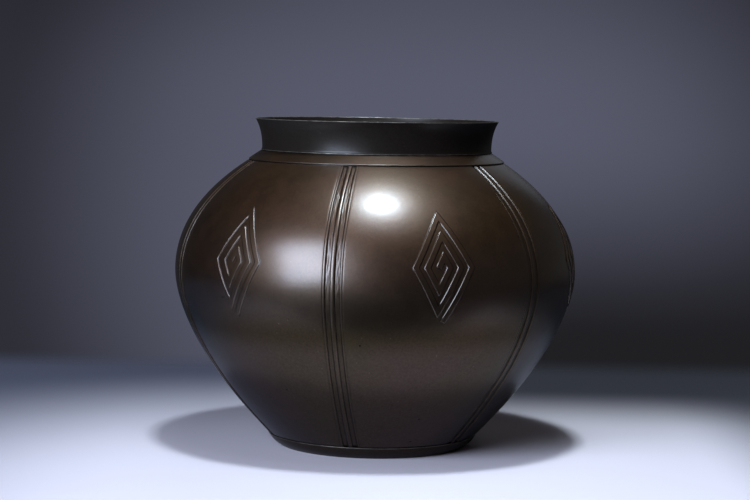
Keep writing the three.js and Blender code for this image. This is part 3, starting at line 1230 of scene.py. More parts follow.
class Graph:
    """Adds nodes to one node tree and joins them."""

    def __init__(self, tree: bpy.types.NodeTree) -> None:
        """Takes the tree to build in.

        Args:
            tree: The node tree of a material, a world or a group.
        """
        self.tree = tree

    @classmethod
    def of(cls, owner: bpy.types.Material | bpy.types.World) -> "Graph":
        """Starts a material's or a world's node tree afresh.

        Args:
            owner: The material or the world.

        Returns:
            The graph of its empty tree.
        """
        owner.use_nodes = True
        owner.node_tree.nodes.clear()
        return cls(owner.node_tree)

    def add(self, kind: str, inputs: dict | None = None, **settings: object) -> bpy.types.Node:
        """Adds a node.

        Args:
            kind: The node's type.
            inputs: What goes into its sockets, by name or place: a number, a colour or another socket.
            **settings: The node's own settings.

        Returns:
            The new node.
        """
        node = self.tree.nodes.new(kind)
        for name, value in settings.items():
            setattr(node, name, value)
        for name, value in (inputs or {}).items():
            self.feed(node.inputs[name], value)
        return node

    def feed(self, socket: Socket, value: object) -> None:
        """Links a socket to another one, or sets its number or colour.

        Args:
            socket: The socket that takes the value.
            value: A number, a colour, a vector or another socket.
        """
        if isinstance(value, Socket):
            self.tree.links.new(value, socket)
        elif isinstance(value, tuple) and socket.type == "RGBA":
            socket.default_value = (*value, 1.0)
        else:
            socket.default_value = value

    def math(self, operation: str, *values: object) -> Socket:
        """The result of one sum on one, two or three numbers or sockets."""
        return self.add("ShaderNodeMath", dict(enumerate(values)), operation=operation).outputs[0]

    def times(self, first: object, *others: object) -> Socket:
        """The product of two or more numbers or sockets.

        Args:
            first: The first one.
            *others: What it is multiplied by, in turn.

        Returns:
            The socket with the product.
        """
        for other in others:
            first = self.math("MULTIPLY", first, other)
        return first

    def minus(self, first: object, second: object) -> Socket:
        """The first number or socket less the second."""
        return self.math("SUBTRACT", first, second)

    def vector(self, operation: str, *values: object, output: int = 0) -> Socket:
        """The result of one sum on vectors.

        Args:
            operation: The kind of sum.
            *values: The vectors, as sockets or as three numbers each.
            output: The place of the result among the node's outputs.

        Returns:
            The socket with the result.
        """
        node = self.add("ShaderNodeVectorMath", dict(enumerate(values)), operation=operation)
        return node.outputs[output]

    def rise(
        self, value: object, start: float, end: float, low: float = 0.0, high: float = 1.0
    ) -> Socket:
        """A soft rise as a value goes from one number to another.

        Args:
            value: The value that drives it.
            start: Where the rise begins.
            end: Where it is complete, which may be below the start.
            low: What it gives at its beginning.
            high: What it gives at its end.

        Returns:
            The socket with the result.
        """
        if start > end:
            start, end, low, high = end, start, high, low
        inputs = {"Value": value, "From Min": start, "From Max": end, "To Min": low, "To Max": high}
        return self.add("ShaderNodeMapRange", inputs, interpolation_type="SMOOTHSTEP").outputs["Result"]

    def blend(self, share: object, first: object, second: object) -> Socket:
        """Two colours mixed.

        Args:
            share: How much of the second.
            first: The first colour.
            second: The second colour.

        Returns:
            The socket with the colour.
        """
        inputs = {MIX_SHARE: share, MIX_FIRST: first, MIX_SECOND: second}
        return self.add("ShaderNodeMix", inputs, data_type="RGBA").outputs[MIX_COLOUR]

    def noise(self, place: Socket, size: object, detail: float = 3.0, roughness: float = 0.6) -> Socket:
        """Noise of about the given size, from 0 to 1.

        Args:
            place: The coordinates.
            size: The size of its larger spots in metres, as a number or a socket.
            detail: How many finer layers it has.
            roughness: How strong these are.

        Returns:
            The socket with the noise.
        """
        scale = self.math("DIVIDE", 1.0, size) if isinstance(size, Socket) else 1.0 / size
        inputs = {"Vector": place, "Scale": scale, "Detail": detail, "Roughness": roughness}
        return self.add("ShaderNodeTexNoise", inputs).outputs[0]

    def place(self) -> Socket:
        """The place on the object, in metres."""
        return self.add("ShaderNodeTexCoord").outputs["Object"]

    def mark(self, mask: Mask) -> Socket:
        """A mark that the mesh carries on its points."""
        node = self.add("ShaderNodeAttribute", attribute_name=mask.value, attribute_type="GEOMETRY")
        return node.outputs["Fac"]


class Kind(Enum):
    """The kinds of socket that an effect has."""

    VALUE = "NodeSocketFloat"
    COLOUR = "NodeSocketColor"


@dataclass(frozen=True)
class Effect:
    """A shared effect: a node group that is built once and placed in each finish that uses it."""

    name: str
    takes: tuple[tuple[str, Kind], ...]
    gives: tuple[tuple[str, Kind], ...]

    def group(self) -> bpy.types.NodeTree:
        """The effect's node group, built the first time it is asked for.

        Returns:
            The node group.
        """
        found = bpy.data.node_groups.get(self.name)
        if found:
            return found
        tree = bpy.data.node_groups.new(self.name, "ShaderNodeTree")
        for sockets, way in ((self.takes, "INPUT"), (self.gives, "OUTPUT")):
            for label, kind in sockets:
                tree.interface.new_socket(label, in_out=way, socket_type=kind.value)
        graph = Graph(tree)
        start = graph.add("NodeGroupInput")
        graph.add("NodeGroupOutput", self.results(graph, start.outputs))
        return tree

    def results(self, graph: Graph, given: bpy.types.NodeOutputs) -> dict[str, Socket]:
        """Builds the inside of the group.

        Args:
            graph: The group's node tree.
            given: The sockets of what the group takes.

        Returns:
            What the group gives, by name.
        """
        raise NotImplementedError

    def use(self, graph: Graph, **values: object) -> bpy.types.NodeOutputs:
        """Places the effect in a finish.

        Args:
            graph: The finish's node tree.
            **values: What the effect takes, by name.

        Returns:
            The sockets of what it gives.
        """
        return graph.add("ShaderNodeGroup", values, node_tree=self.group()).outputs


@dataclass(frozen=True)
class PatinaDrift(Effect):
    """The slow drift of a patina between its ground, an olive and a russet colour.

    The fine mottle's and the grain's sizes are shares of the drift's size.
    """

    name: str = "patina_drift"
    takes: tuple = (
        ("Ground", Kind.COLOUR),
        ("Olive", Kind.COLOUR),
        ("Russet", Kind.COLOUR),
        ("Size", Kind.VALUE),
        ("Mottle", Kind.VALUE),
    )
    gives: tuple = (("Colour", Kind.COLOUR),)
    detail: float = 4.0
    olive_strength: float = 0.55
    olive_rise: Span = (0.44, 0.62)
    russet_strength: float = 0.6
    russet_rise: Span = (0.48, 0.66)
    russet_shift: tuple[float, float, float] = (0.31, -0.17, 0.23)
    fine_size: float = 0.09
    fine_swing: float = 0.35
    grain_size: float = 0.018
    grain_swing: float = 1.5

    def results(self, graph: Graph, given: bpy.types.NodeOutputs) -> dict[str, Socket]:
        """Clouds of both colours over the ground, with a finer mottle of light and dark.

        Args:
            graph: The group's node tree.
            given: The sockets of what the group takes.

        Returns:
            What the group gives, by name.
        """
        place = graph.place()
        cloud = graph.noise(place, given["Size"], self.detail, self.olive_strength)
        aside = graph.vector("ADD", place, self.russet_shift)
        other = graph.noise(aside, given["Size"], self.detail, self.russet_strength)
        colour = graph.blend(graph.rise(cloud, *self.olive_rise), given["Ground"], given["Olive"])
        colour = graph.blend(graph.rise(other, *self.russet_rise), colour, given["Russet"])
        fine = graph.noise(place, graph.times(given["Size"], self.fine_size))
        grain = graph.noise(place, graph.times(given["Size"], self.grain_size), detail=2.0)
        fine = graph.times(graph.minus(fine, NOISE_MIDDLE), self.fine_swing)
        both = graph.math("MULTIPLY_ADD", graph.minus(grain, NOISE_MIDDLE), self.grain_swing, fine)
        bright = graph.math("ADD", 1.0, graph.times(both, given["Mottle"]))
        scaled = graph.add("ShaderNodeVectorMath", {0: colour, "Scale": bright}, operation="SCALE")
        return {"Colour": scaled.outputs[0]}


@dataclass(frozen=True)
class SatinGrain(Effect):
    """The fine grain that casting sand and wax leave on the bronze.

    The swell's and the smear's sizes are multiples of the grain's size.
    """

    name: str = "satin_grain"
    takes: tuple = (("Size", Kind.VALUE),)
    gives: tuple = (("Height", Kind.VALUE), ("Sheen", Kind.VALUE))
    swell_size: float = 7.0
    swell_height: float = 1.5
    smear_size: float = 18.0

    def results(self, graph: Graph, given: bpy.types.NodeOutputs) -> dict[str, Socket]:
        """A soft speckle with a slower swell under it.

        Args:
            graph: The group's node tree.
            given: The sockets of what the group takes.

        Returns:
            What the group gives, by name.
        """
        place = graph.place()
        speckle = graph.noise(place, given["Size"], detail=2.0)
        swell_size = graph.times(given["Size"], self.swell_size)
        swell = graph.noise(place, swell_size, detail=2.0, roughness=0.5)
        height = graph.math("ADD", speckle, graph.times(swell, self.swell_height))
        smear = graph.noise(place, graph.times(given["Size"], self.smear_size))
        return {"Height": height, "Sheen": smear}


@dataclass(frozen=True)
class Specks(Effect):
    """Scattered small round spots, for the pits that gas leaves in a casting and for flecks of dust."""

    name: str = "scattered_specks"
    takes: tuple = (("Spacing", Kind.VALUE), ("Share", Kind.VALUE))
    gives: tuple = (("Speck", Kind.VALUE),)
    smallest: float = 0.06
    variety: float = 0.10
    soft_edge: float = 0.7

    def results(self, graph: Graph, given: bpy.types.NodeOutputs) -> dict[str, Socket]:
        """A small round spot in a few of the cells that the surface falls into.

        Args:
            graph: The group's node tree.
            given: The sockets of what the group takes.

        Returns:
            What the group gives, by name.
        """
        scale = graph.math("DIVIDE", 1.0, given["Spacing"])
        inputs = {"Vector": graph.place(), "Scale": scale, "Randomness": 1.0}
        cells = graph.add("ShaderNodeTexVoronoi", inputs)
        draw = graph.add("ShaderNodeSeparateColor", {0: cells.outputs["Color"]})
        chosen = graph.math("LESS_THAN", draw.outputs[0], given["Share"])
        reach = graph.math("MULTIPLY_ADD", draw.outputs[1], self.variety, self.smallest)
        depth = graph.minus(1.0, graph.math("DIVIDE", cells.outputs["Distance"], reach))
        return {"Speck": graph.times(chosen, graph.rise(depth, 0.0, self.soft_edge))}


@dataclass(frozen=True)
class BrokenMark(Effect):
    """One of the mesh's own marks, broken up by noise and never less than a share of itself."""

    name: str
    takes: tuple = (("Size", Kind.VALUE), ("Amount", Kind.VALUE))
    gives: tuple = (("Mark", Kind.VALUE),)
    mask: Mask = Mask.WEAR
    patch_rise: Span = (0.36, 0.62)
    least: float = 0.25

    def results(self, graph: Graph, given: bpy.types.NodeOutputs) -> dict[str, Socket]:
        """The mark times the noise's patches times the amount.

        Args:
            graph: The group's node tree.
            given: The sockets of what the group takes.

        Returns:
            What the group gives, by name.
        """
        patch = graph.noise(graph.place(), given["Size"])
        patches = graph.rise(patch, *self.patch_rise, self.least, 1.0)
        return {"Mark": graph.times(graph.mark(self.mask), patches, given["Amount"])}


@dataclass(frozen=True)
class TurningMarks(Effect):
    """The fine rings that the lathe tool leaves."""

    name: str = "turning_marks"
    takes: tuple = (("Pitch", Kind.VALUE),)
    gives: tuple = (("Height", Kind.VALUE),)

    def results(self, graph: Graph, given: bpy.types.NodeOutputs) -> dict[str, Socket]:
        """Noise that changes only with the distance from the axis and the height.

        Args:
            graph: The group's node tree.
            given: The sockets of what the group takes.

        Returns:
            What the group gives, by name.
        """
        parts = graph.add("ShaderNodeSeparateXYZ", {0: graph.place()}).outputs
        flat = graph.add("ShaderNodeCombineXYZ", {"X": parts["X"], "Y": parts["Y"]}).outputs[0]
        radius = graph.vector("LENGTH", flat, output=VECTOR_VALUE)
        rings = graph.add("ShaderNodeCombineXYZ", {"X": radius, "Z": parts["Z"]}).outputs[0]
        return {"Height": graph.noise(rings, given["Pitch"], detail=2.0, roughness=0.7)}


# Lightens the rubbed edges: partly wear, partly a painted highlight.
EDGE_WEAR_AND_GLINT = BrokenMark("edge_wear_and_glint")
# Darkens the grooves, joints and notches: partly settled grime, partly painted shade.
GRIME_AND_SHADE = BrokenMark("grime_and_painted_shade", mask=Mask.GROOVE, patch_rise=(0.3, 0.6), least=0.6)


@dataclass(frozen=True)
class Patina:
    """Waxed bronze: its colours, how it drifts between them, and its grain, pits, wear, grime and
    painted light.

    Roughness goes from its first to its second value with the smears of the grain, and metallic from
    clean to rubbed. Wax, polish and the painted tones change with the height over the foot: the rises
    say between which heights. The painted tones are reflection tints on the colour low down and about
    the belly, where it has them. The grime-and-shade colour is partly settled grime and partly painted
    shade in grooves and joints, and the rubbed colour is partly wear and partly a painted highlight on
    edges.
    """

    name: str
    ground: Colour
    olive: Colour
    russet: Colour
    rubbed_and_glint: Colour
    grime_and_shade: Colour
    roughness: Span = (0.34, 0.42)
    smear_rise: Span = (0.3, 0.7)
    metallic: Span = (0.0, 0.3)
    drift_size: float = 90 * MM
    mottle: float = 0.55
    grain_size: float = 0.9 * MM
    grain_depth: float = 0.028
    pit_spacing: float = 9.0 * MM
    pit_share: float = 0.08
    pit_depth: float = 0.10
    fleck_spacing: float = 5.0 * MM
    fleck_share: float = 0.35
    fleck_strength: float = 0.35
    ior: float = 1.39
    tint: Colour = (1.0, 0.69, 0.54)
    wax: Span = (0.04, 1.0)
    wax_rise: Span = (95 * MM, 135 * MM)
    wax_roughness: float = 0.28
    wax_ior: float = 1.66
    low_polish: float = 0.65
    # Painted reflection tints low down and about the belly, and the heights where they fade.
    painted_tones: tuple[Colour, Colour] | None = None
    low_rise: Span = (80 * MM, 97 * MM)
    high_rise: Span = (95 * MM, 150 * MM)
    turned_pitch: float = 0.6 * MM
    turned_depth: float = 0.0
    wear: float = 0.6
    wear_size: float = 6.0 * MM
    grime_and_shade_amount: float = 0.9
    grime_and_shade_size: float = 4.0 * MM
    grime_and_shade_roughness: float = 0.2
    grime_and_shade_dulling: float = 0.7

    def _colour(self, graph: Graph, level: Socket, marks: dict[str, Socket]) -> Socket:
        """The colour, from the drift to the rubbed edges, with their painted highlight.

        Args:
            graph: The finish's node tree.
            level: The height over the foot.
            marks: The pits, the wear with its painted highlight, and the grime with its painted shade.

        Returns:
            The socket with the colour.
        """
        names = ("Ground", "Olive", "Russet", "Size", "Mottle")
        values = (self.ground, self.olive, self.russet, self.drift_size, self.mottle)
        colour = PatinaDrift().use(graph, **dict(zip(names, values)))["Colour"]
        # Painted reflection tints: bluer low down, where the floor shows in the metal, and darker and
        # cooler about the belly, fading out towards the shoulder.
        if self.painted_tones:
            painted_low_tint, painted_belly_tint = self.painted_tones
            painted_tone = graph.blend(graph.rise(level, *self.high_rise), painted_belly_tint, WHITE)
            painted_tone = graph.blend(graph.rise(level, *self.low_rise), painted_low_tint, painted_tone)
            colour = graph.vector("MULTIPLY", colour, painted_tone)
        fleck = Specks().use(graph, Spacing=self.fleck_spacing, Share=self.fleck_share)["Speck"]
        # Darkened along the groove mark, partly settled grime and partly painted shade, and in the pits;
        # lightened along the wear mark, partly wear and partly a painted highlight, and in the flecks.
        for share, layer in (
            (marks["grime_and_shade"], self.grime_and_shade),
            (marks["pit"], self.grime_and_shade),
            (marks["wear"], self.rubbed_and_glint),
            (graph.times(fleck, self.fleck_strength), self.rubbed_and_glint),
        ):
            colour = graph.blend(share, colour, layer)
        return colour

    def _normal(self, graph: Graph, grain: Socket, pit: Socket) -> Socket:
        """The surface's fine relief: the grain, the pits and the lathe's rings.

        Args:
            graph: The finish's node tree.
            grain: The grain's height.
            pit: Where the pits are.

        Returns:
            The socket with the normal.
        """
        height = graph.minus(graph.times(grain, self.grain_depth), graph.times(pit, self.pit_depth))
        if self.turned_depth:
            rings = TurningMarks().use(graph, Pitch=self.turned_pitch)["Height"]
            height = graph.math("ADD", height, graph.times(rings, self.turned_depth))
        bump = graph.add("ShaderNodeBump", {"Height": height, "Distance": MM, "Strength": 1.0})
        return bump.outputs[0]

    def material(self) -> bpy.types.Material:
        """The finish as a material, built the first time it is asked for.

        Returns:
            The material.
        """
        found = bpy.data.materials.get(self.name)
        if found:
            return found
        made = bpy.data.materials.new(self.name)
        graph = Graph.of(made)
        level = graph.add("ShaderNodeSeparateXYZ", {0: graph.place()}).outputs["Z"]
        grain = SatinGrain().use(graph, Size=self.grain_size)
        marks = {
            "pit": Specks().use(graph, Spacing=self.pit_spacing, Share=self.pit_share)["Speck"],
            "wear": EDGE_WEAR_AND_GLINT.use(graph, Size=self.wear_size, Amount=self.wear)["Mark"],
            "grime_and_shade": GRIME_AND_SHADE.use(graph, Size=self.grime_and_shade_size, Amount=self.grime_and_shade_amount)["Mark"],
        }
        normal = self._normal(graph, grain["Height"], marks["pit"])
        smear = graph.rise(grain["Sheen"], *self.smear_rise, *self.roughness)
        rough = graph.math("MULTIPLY_ADD", marks["grime_and_shade"], self.grime_and_shade_roughness, smear)
        polish = graph.rise(level, *self.wax_rise, self.low_polish, 1.0)
        clean, rubbed_and_glint = self.metallic
        metal = clean if clean == rubbed_and_glint else graph.rise(marks["wear"], 0.0, 1.0, clean, rubbed_and_glint)
        wax = graph.rise(level, *self.wax_rise, *self.wax)
        clear = graph.minus(1.0, graph.times(marks["grime_and_shade"], self.grime_and_shade_dulling))
        shader = graph.add(
            "ShaderNodeBsdfPrincipled",
            {
                "Base Color": self._colour(graph, level, marks),
                "Roughness": graph.times(rough, polish),
                "Metallic": metal,
                "IOR": self.ior,
                "Specular Tint": self.tint,
                "Normal": normal,
                "Coat Weight": graph.times(wax, clear),
                "Coat Roughness": self.wax_roughness,
                "Coat IOR": self.wax_ior,
                "Coat Normal": normal,
            },
        )
        graph.add("ShaderNodeOutputMaterial", {"Surface": shader.outputs[0]})
        return made


BROWN = Patina(
    name="waxed_brown",
    ground=(0.0790, 0.0378, 0.0176),
    olive=(0.0762, 0.0388, 0.0162),
    russet=(0.0820, 0.0372, 0.0186),
    rubbed_and_glint=(0.17, 0.13, 0.105),
    grime_and_shade=(0.005, 0.0045, 0.004),
    roughness=(0.43, 0.49),
    low_polish=0.66,
    wax_roughness=0.295,
    metallic=(1.0, 1.0),
    tint=(0.62, 0.66, 0.72),
    # Painted reflection tints: bluer low down, darker and cooler about the belly.
    painted_tones=((0.69, 1.03, 1.66), (0.48, 0.70, 0.82)),
)
INSIDE = Patina(
    name="inside_brown",
    ground=(0.085, 0.068, 0.056),
    olive=(0.086, 0.076, 0.058),
    russet=(0.105, 0.070, 0.053),
    rubbed_and_glint=(0.15, 0.12, 0.10),
    grime_and_shade=(0.040, 0.034, 0.028),
    roughness=(0.5, 0.65),
    grain_size=1.4 * MM,
    grain_depth=0.08,
)
DARK = Patina(
    name="waxed_dark",
    ground=(0.0235, 0.0168, 0.0130),
    olive=(0.0230, 0.0172, 0.0124),
    russet=(0.0246, 0.0165, 0.0130),
    # Much lighter than the ground: partly wear on the lip, bead and edges, partly a painted highlight
    # along them.
    rubbed_and_glint=(0.42, 0.36, 0.31),
    grime_and_shade=(0.003, 0.003, 0.003),
    roughness=(0.36, 0.42),
    low_polish=0.8,
    metallic=(0.4, 1.0),
    ior=1.08,
    fleck_strength=0.08,
    tint=(0.62, 0.66, 0.72),
    wax=(0.04, 0.35),
    wax_roughness=0.3,
    grain_size=0.6 * MM,
    grain_depth=0.010,
    pit_share=0.12,
    turned_depth=0.012,
)
UNDERSIDE = Patina(
    name="underside_brown",
    ground=(0.05, 0.04, 0.034),
    olive=(0.055, 0.048, 0.036),
    russet=(0.07, 0.042, 0.03),
    rubbed_and_glint=(0.15, 0.12, 0.09),
    grime_and_shade=(0.015, 0.012, 0.01),
    roughness=(0.42, 0.55),
    turned_depth=0.03,
)
SOLDER = Patina(
    name="run_solder",
    ground=(0.36, 0.35, 0.33),
    olive=(0.3, 0.3, 0.27),
    russet=(0.27, 0.25, 0.23),
    rubbed_and_glint=(0.5, 0.49, 0.47),
    grime_and_shade=(0.12, 0.11, 0.1),
    roughness=(0.42, 0.6),
    metallic=(0.85, 0.95),
    drift_size=14 * MM,
    grain_size=1.1 * MM,
    grain_depth=0.05,
)


@dataclass(frozen=True)
class Viewpoint:
    """Where the photograph was taken from, and the lens."""

    place: tuple[float, float, float] = (-0.5062, -1.4827, 0.2760)
    heading: float = math.radians(18.85)
    pitch: float = math.radians(4.727)
    roll: float = math.radians(0.988)
    lens: float = 100.0
    sensor: float = 36.0

    @property
    def right(self) -> Vector:
        """The level direction to the right of the picture."""
        return Vector((math.cos(self.heading), -math.sin(self.heading), 0.0))

    @property
    def away(self) -> Vector:
        """The level direction away from the camera."""
        return Vector((math.sin(self.heading), math.cos(self.heading), 0.0))

    @property
    def forward(self) -> Vector:
        """The direction of view."""
        return self.away * math.cos(self.pitch) - Vector((0.0, 0.0, math.sin(self.pitch)))

    def place_of(self, right: float, nearer: float, up: float) -> Vector:
        """A place given as seen from the camera's side of the vase.

        Args:
            right: How far right of the axis.
            nearer: How far in front of the axis, towards the camera.
            up: How high.

        Returns:
            The place in the frame.
        """
        return self.right * right - self.away * nearer + Vector((0.0, 0.0, up))

    def ways(self, graph: Graph, place: Socket) -> tuple[Socket, Socket]:
        """How far right and how far in front of the axis a place is.

        Args:
            graph: The node tree.
            place: The place.

        Returns:
            The two distances.
        """
        right, nearer = (
            graph.vector("DOT_PRODUCT", place, tuple(way), output=VECTOR_VALUE)
            for way in (self.right, -self.away)
        )
        return right, nearer

    def build(self) -> bpy.types.Object:
        """Sets up the camera.

        Returns:
            The camera.
        """
        up = self.right.cross(self.forward)
        across = self.right * math.cos(self.roll) + up * math.sin(self.roll)
        over = up * math.cos(self.roll) - self.right * math.sin(self.roll)
        lens = bpy.data.cameras.new("viewpoint")
        lens.lens = self.lens
        lens.sensor_width = self.sensor
        camera = bpy.data.objects.new("viewpoint", lens)
        bpy.context.scene.collection.objects.link(camera)
        turn = Matrix((across, over, -self.forward)).transposed().to_4x4()
        camera.matrix_world = Matrix.Translation(self.place) @ turn
        bpy.context.scene.camera = camera
        return camera


@dataclass(frozen=True)
class Lamp:
    """A softbox, placed as seen from the camera's side of the vase.

    Its place and its target are distances to the right, in front and up, and its size is its width and
    its depth.
    """

    name: str
    place: tuple[float, float, float]
    target: tuple[float, float, float]
    watts: float
    size: Span
    colour: Colour = (0.80, 0.89, 1.0)

    def build(self, view: Viewpoint) -> bpy.types.Object:
        """Hangs the lamp.

        Args:
            view: The viewpoint whose directions its place is given in.

        Returns:
            The lamp.
        """
        light = bpy.data.lights.new(self.name, "AREA")
        light.energy = self.watts
        light.color = self.colour
        light.shape = "RECTANGLE"
        light.size, light.size_y = self.size
        lamp = bpy.data.objects.new(self.name, light)
        bpy.context.scene.collection.objects.link(lamp)
        place = view.place_of(*self.place)
        away = (place - view.place_of(*self.target)).normalized()
        over = away.cross(view.right).normalized()
        turn = Matrix((over.cross(away), over, away)).transposed().to_4x4()
        lamp.matrix_world = Matrix.Translation(place) @ turn
        lamp.visible_camera = False
        return lamp


@dataclass(frozen=True)
class Sheet:
    """The sheet that the vase stands on: pale, with a painted pool of light round the vase, painted
    shade further off, a painted shadow behind on the right and a dark band beyond its front edge; gone
    far behind.

    Sides are distances to the right of the axis and depths are distances in front of it, as seen from
    the camera. Each pair of them says where a change begins and where it is complete.
    """

    view: Viewpoint
    half: float = 1.2
    pale: Colour = (0.93, 0.795, 0.83)
    # Painted shade further off, darker on the right where the painted shadow falls.
    far_left: Colour = (0.074, 0.071, 0.104)
    far_right: Colour = (0.036, 0.034, 0.046)
    far_sides: Span = (-0.2, 0.1)
    # Dark beyond the front edge of the pale part.
    near: Colour = (0.020, 0.016, 0.011)
    near_depths: Span = (0.1, 0.233)
    front_depths: Span = (0.233, 0.220)
    front_slant: float = 0.085
    # The painted pool of light round the vase.
    pool_middle: Span = (0.0, 0.25)
    pool_inner: float = 0.22
    pool_outer: Span = (0.65, 1.02)
    pool_sides: Span = (-0.15, 0.15)
    # Where the painted pool of light fades at the far sides.
    left_sides: Span = (-0.55, -0.14)
    right_sides: Span = (0.37, 0.24)
    # Painted shade: the pool is dimmer on the left.
    left_share: float = 0.85
    left_share_sides: Span = (-0.15, 0.06)
    # A painted shadow behind the vase on the right.
    right_back_sides: Span = (-0.1, 0.12)
    right_back_depths: Span = (-0.07, -0.285)
    fade_depths: Span = (-0.5, -0.36)
    fibre_size: float = 1.5 * MM
    fibre_depth: float = 0.05 * MM
    roughness: float = 0.75

    def _painted_light_share(self, graph: Graph, right: Socket, nearer: Socket) -> Socket:
        """How much of the painted pool of light the sheet shows, from 0 to 1.

        Args:
            graph: The sheet's node tree.
            right: How far right of the axis a place is.
            nearer: How far in front of the axis it is.

        Returns:
            The socket with the share.
        """
        aside, ahead = (graph.minus(way, mid) for way, mid in zip((right, nearer), self.pool_middle))
        squares = graph.math("ADD", graph.times(aside, aside), graph.times(ahead, ahead))
        outer = graph.rise(right, *self.pool_sides, *self.pool_outer)
        inwards = graph.minus(outer, graph.math("SQRT", squares))
        share = graph.math("DIVIDE", inwards, graph.minus(outer, self.pool_inner))
        slanted = graph.math("MULTIPLY_ADD", right, self.front_slant, nearer)
        # A painted shadow behind the vase on the right.
        back = graph.times(
            graph.rise(right, *self.right_back_sides), graph.rise(nearer, *self.right_back_depths)
        )
        # The painted pool of light, cut at the front edge, less the painted shadow, fading to both sides
        # and dimmer on the left.
        return graph.times(
            graph.rise(share, 0.0, 1.0),
            graph.rise(slanted, *self.front_depths),
            graph.minus(1.0, back),
            graph.rise(right, *self.left_sides),
            graph.rise(right, *self.right_sides),
            graph.rise(right, *self.left_share_sides, self.left_share, 1.0),
        )

    def _material(self) -> bpy.types.Material:
        """The sheet's colour with its painted light and shade, and the paper's fine fibre.

        Returns:
            The material.
        """
        made = bpy.data.materials.new("pale_sheet")
        graph = Graph.of(made)
        place = graph.place()
        right, nearer = self.view.ways(graph, place)
        # Painted shade further off, darker on the right, and dark beyond the front edge.
        far = graph.blend(graph.rise(right, *self.far_sides), self.far_left, self.far_right)
        dark = graph.blend(graph.rise(nearer, *self.near_depths), far, self.near)
        fibre = graph.noise(place, self.fibre_size)
        bump = graph.add("ShaderNodeBump", {"Height": fibre, "Distance": self.fibre_depth})
        surface = graph.add(
            "ShaderNodeBsdfPrincipled",
            {
                "Base Color": graph.blend(self._painted_light_share(graph, right, nearer), dark, self.pale),
                "Roughness": self.roughness,
                "Normal": bump.outputs[0],
            },
        )
        shown = graph.rise(nearer, *self.fade_depths)
        clear = graph.add("ShaderNodeBsdfTransparent")
        mixed = graph.add("ShaderNodeMixShader", {0: shown, 1: clear.outputs[0], 2: surface.outputs[0]})
        graph.add("ShaderNodeOutputMaterial", {"Surface": mixed.outputs[0]})
        return made

    def build(self) -> bpy.types.Object:
        """Lays the sheet under the vase.

        Returns:
            The sheet.
        """
        half = self.half
        data = bpy.data.meshes.new("pale_sheet")
        corners = [(-half, -half, 0.0), (half, -half, 0.0), (half, half, 0.0), (-half, half, 0.0)]
        data.from_pydata(corners, [], [(0, 1, 2, 3)])
        data.materials.append(self._material())
        sheet = bpy.data.objects.new("pale_sheet", data)
        bpy.context.scene.collection.objects.link(sheet)
        return sheet


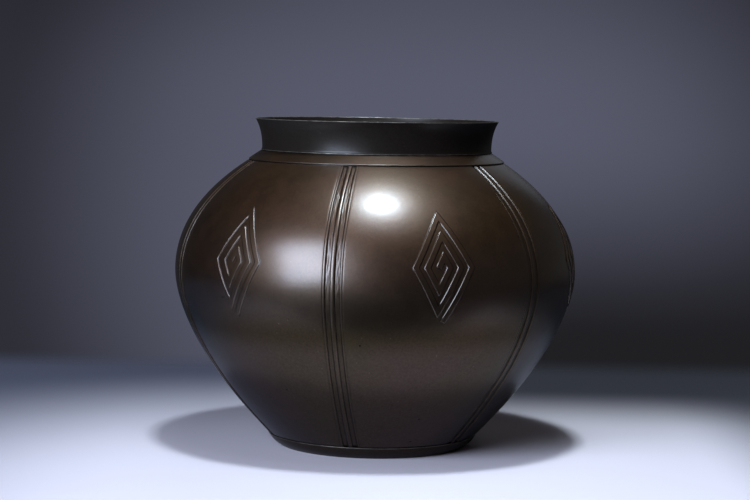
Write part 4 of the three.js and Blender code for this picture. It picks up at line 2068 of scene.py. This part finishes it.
@dataclass(frozen=True)
class Backdrop:
    """The world: a glow on the wall behind the vase, a dim room round it and a faint even light.

    Directions are unit ones. The glow and the room change with how near a direction is to the glow's
    middle, and the rest with how far it points to the right or upwards.
    """

    view: Viewpoint
    glow_middle: tuple[float, float, float] = (0.024, -1.0, -0.0586)
    glow: Colour = (0.100, 0.105, 0.151)
    wall: Colour = (0.0275, 0.0280, 0.038)
    glow_rise: Span = (0.9775, 1.0)
    room: Colour = (0.017, 0.014, 0.010)
    room_rise: Span = (0.93, 0.6)
    right_room: Colour = (0.072, 0.072, 0.066)
    right_rise: Span = (0.25, 0.7)
    upper_room: Colour = (0.085, 0.052, 0.022)
    upper_rise: Span = (0.3, 0.65)
    dusk: Colour = (0.01, 0.01, 0.013)
    dusk_rise: Span = (-0.01, 0.06)
    dusk_share: float = 0.25
    low: Colour = (0.0145, 0.0145, 0.017)
    low_rise: Span = (-0.02, -0.125)
    low_right_rise: Span = (-0.09, 0.08)
    ambient: Colour = (0.014, 0.015, 0.018)

    def build(self) -> None:
        """Makes the world: what the camera and the gloss see, and the even light on the rest."""
        world = bpy.data.worlds.new("backdrop")
        bpy.context.scene.world = world
        graph = Graph.of(world)
        way = graph.add("ShaderNodeTexCoord").outputs["Generated"]
        right, _ = self.view.ways(graph, way)
        up = graph.add("ShaderNodeSeparateXYZ", {0: way}).outputs["Z"]
        middle = self.view.place_of(*self.glow_middle).normalized()
        near = graph.vector("DOT_PRODUCT", way, tuple(middle), output=VECTOR_VALUE)
        low = graph.times(graph.rise(up, *self.low_rise), graph.rise(right, *self.low_right_rise))
        colour = self.wall
        for share, layer in (
            (graph.rise(near, *self.glow_rise), self.glow),
            (graph.rise(near, *self.room_rise), self.room),
            (graph.rise(right, *self.right_rise), self.right_room),
            (graph.rise(up, *self.upper_rise), self.upper_room),
            (graph.times(graph.rise(up, *self.dusk_rise), self.dusk_share), self.dusk),
            (low, self.low),
        ):
            colour = graph.blend(share, colour, layer)
        rays = graph.add("ShaderNodeLightPath").outputs
        seen = graph.math("MAXIMUM", rays["Is Camera Ray"], rays["Is Glossy Ray"])
        seen = graph.math("MAXIMUM", seen, rays["Is Transmission Ray"])
        back = graph.add("ShaderNodeBackground", {"Color": graph.blend(seen, self.ambient, colour)})
        graph.add("ShaderNodeOutputWorld", {"Surface": back.outputs[0]})


@dataclass(frozen=True)
class Studio:
    """The sheet, the backdrop and the lamps over them."""

    view: Viewpoint
    lamps: tuple[Lamp, ...] = (
        Lamp(
            "overhead",
            place=(0.052, 0.34, 1.52),
            target=(0.052, 0.34, 0.0),
            watts=18.0,
            size=(0.14, 0.17),
            colour=(0.655, 0.83, 0.96),
        ),
        Lamp(
            "overhead_panel",
            place=(0.030, 0.36, 1.17),
            target=(0.030, 0.36, 0.0),
            watts=2.5,
            size=(0.36, 0.66),
            colour=(0.68, 0.82, 1.0),
        ),
        Lamp(
            "left_softbox",
            place=(-0.765, 1.005, 0.540),
            target=(-0.044, 0.142, 0.149),
            watts=22.9,
            size=(0.68, 0.84),
            colour=(0.62, 0.77, 1.0),
        ),
        Lamp("back_fill", place=(0.3, -1.6, 1.1), target=(0.0, 0.0, 0.13), watts=1.0, size=(1.2, 1.2)),
    )

    def build(self) -> None:
        """Lays the sheet, sets the world and hangs the lamps."""
        Sheet(self.view).build()
        Backdrop(self.view).build()
        for lamp in self.lamps:
            lamp.build(self.view)
        bpy.context.scene.view_settings.view_transform = "Standard"


def main() -> None:
    """Sets the scene, then builds the vase from the cast body outwards."""
    logging.basicConfig(level=logging.INFO, format="%(name)s: %(message)s")
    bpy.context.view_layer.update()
    view = Viewpoint()
    view.build()
    Studio(view).build()
    outline = Outline.from_frame()
    pieces: list[Piece] = [
        CastBody(outline, BROWN, INSIDE),
        ShoulderRing(BROWN),
        NeckCollar(DARK),
        FootRing(DARK),
        BasePlate(UNDERSIDE),
        SolderSeam("collar_solder_seam", SOLDER, seed=21),
        SolderSeam("shoulder_solder_seam", SOLDER, seed=22),
        SolderSeam("foot_solder_seam", SOLDER, seed=23),
        SolderSeam("base_solder_seam", SOLDER, seed=24),
    ]
    for piece in pieces:
        piece.fit()


if __name__ == "__main__":
    main()
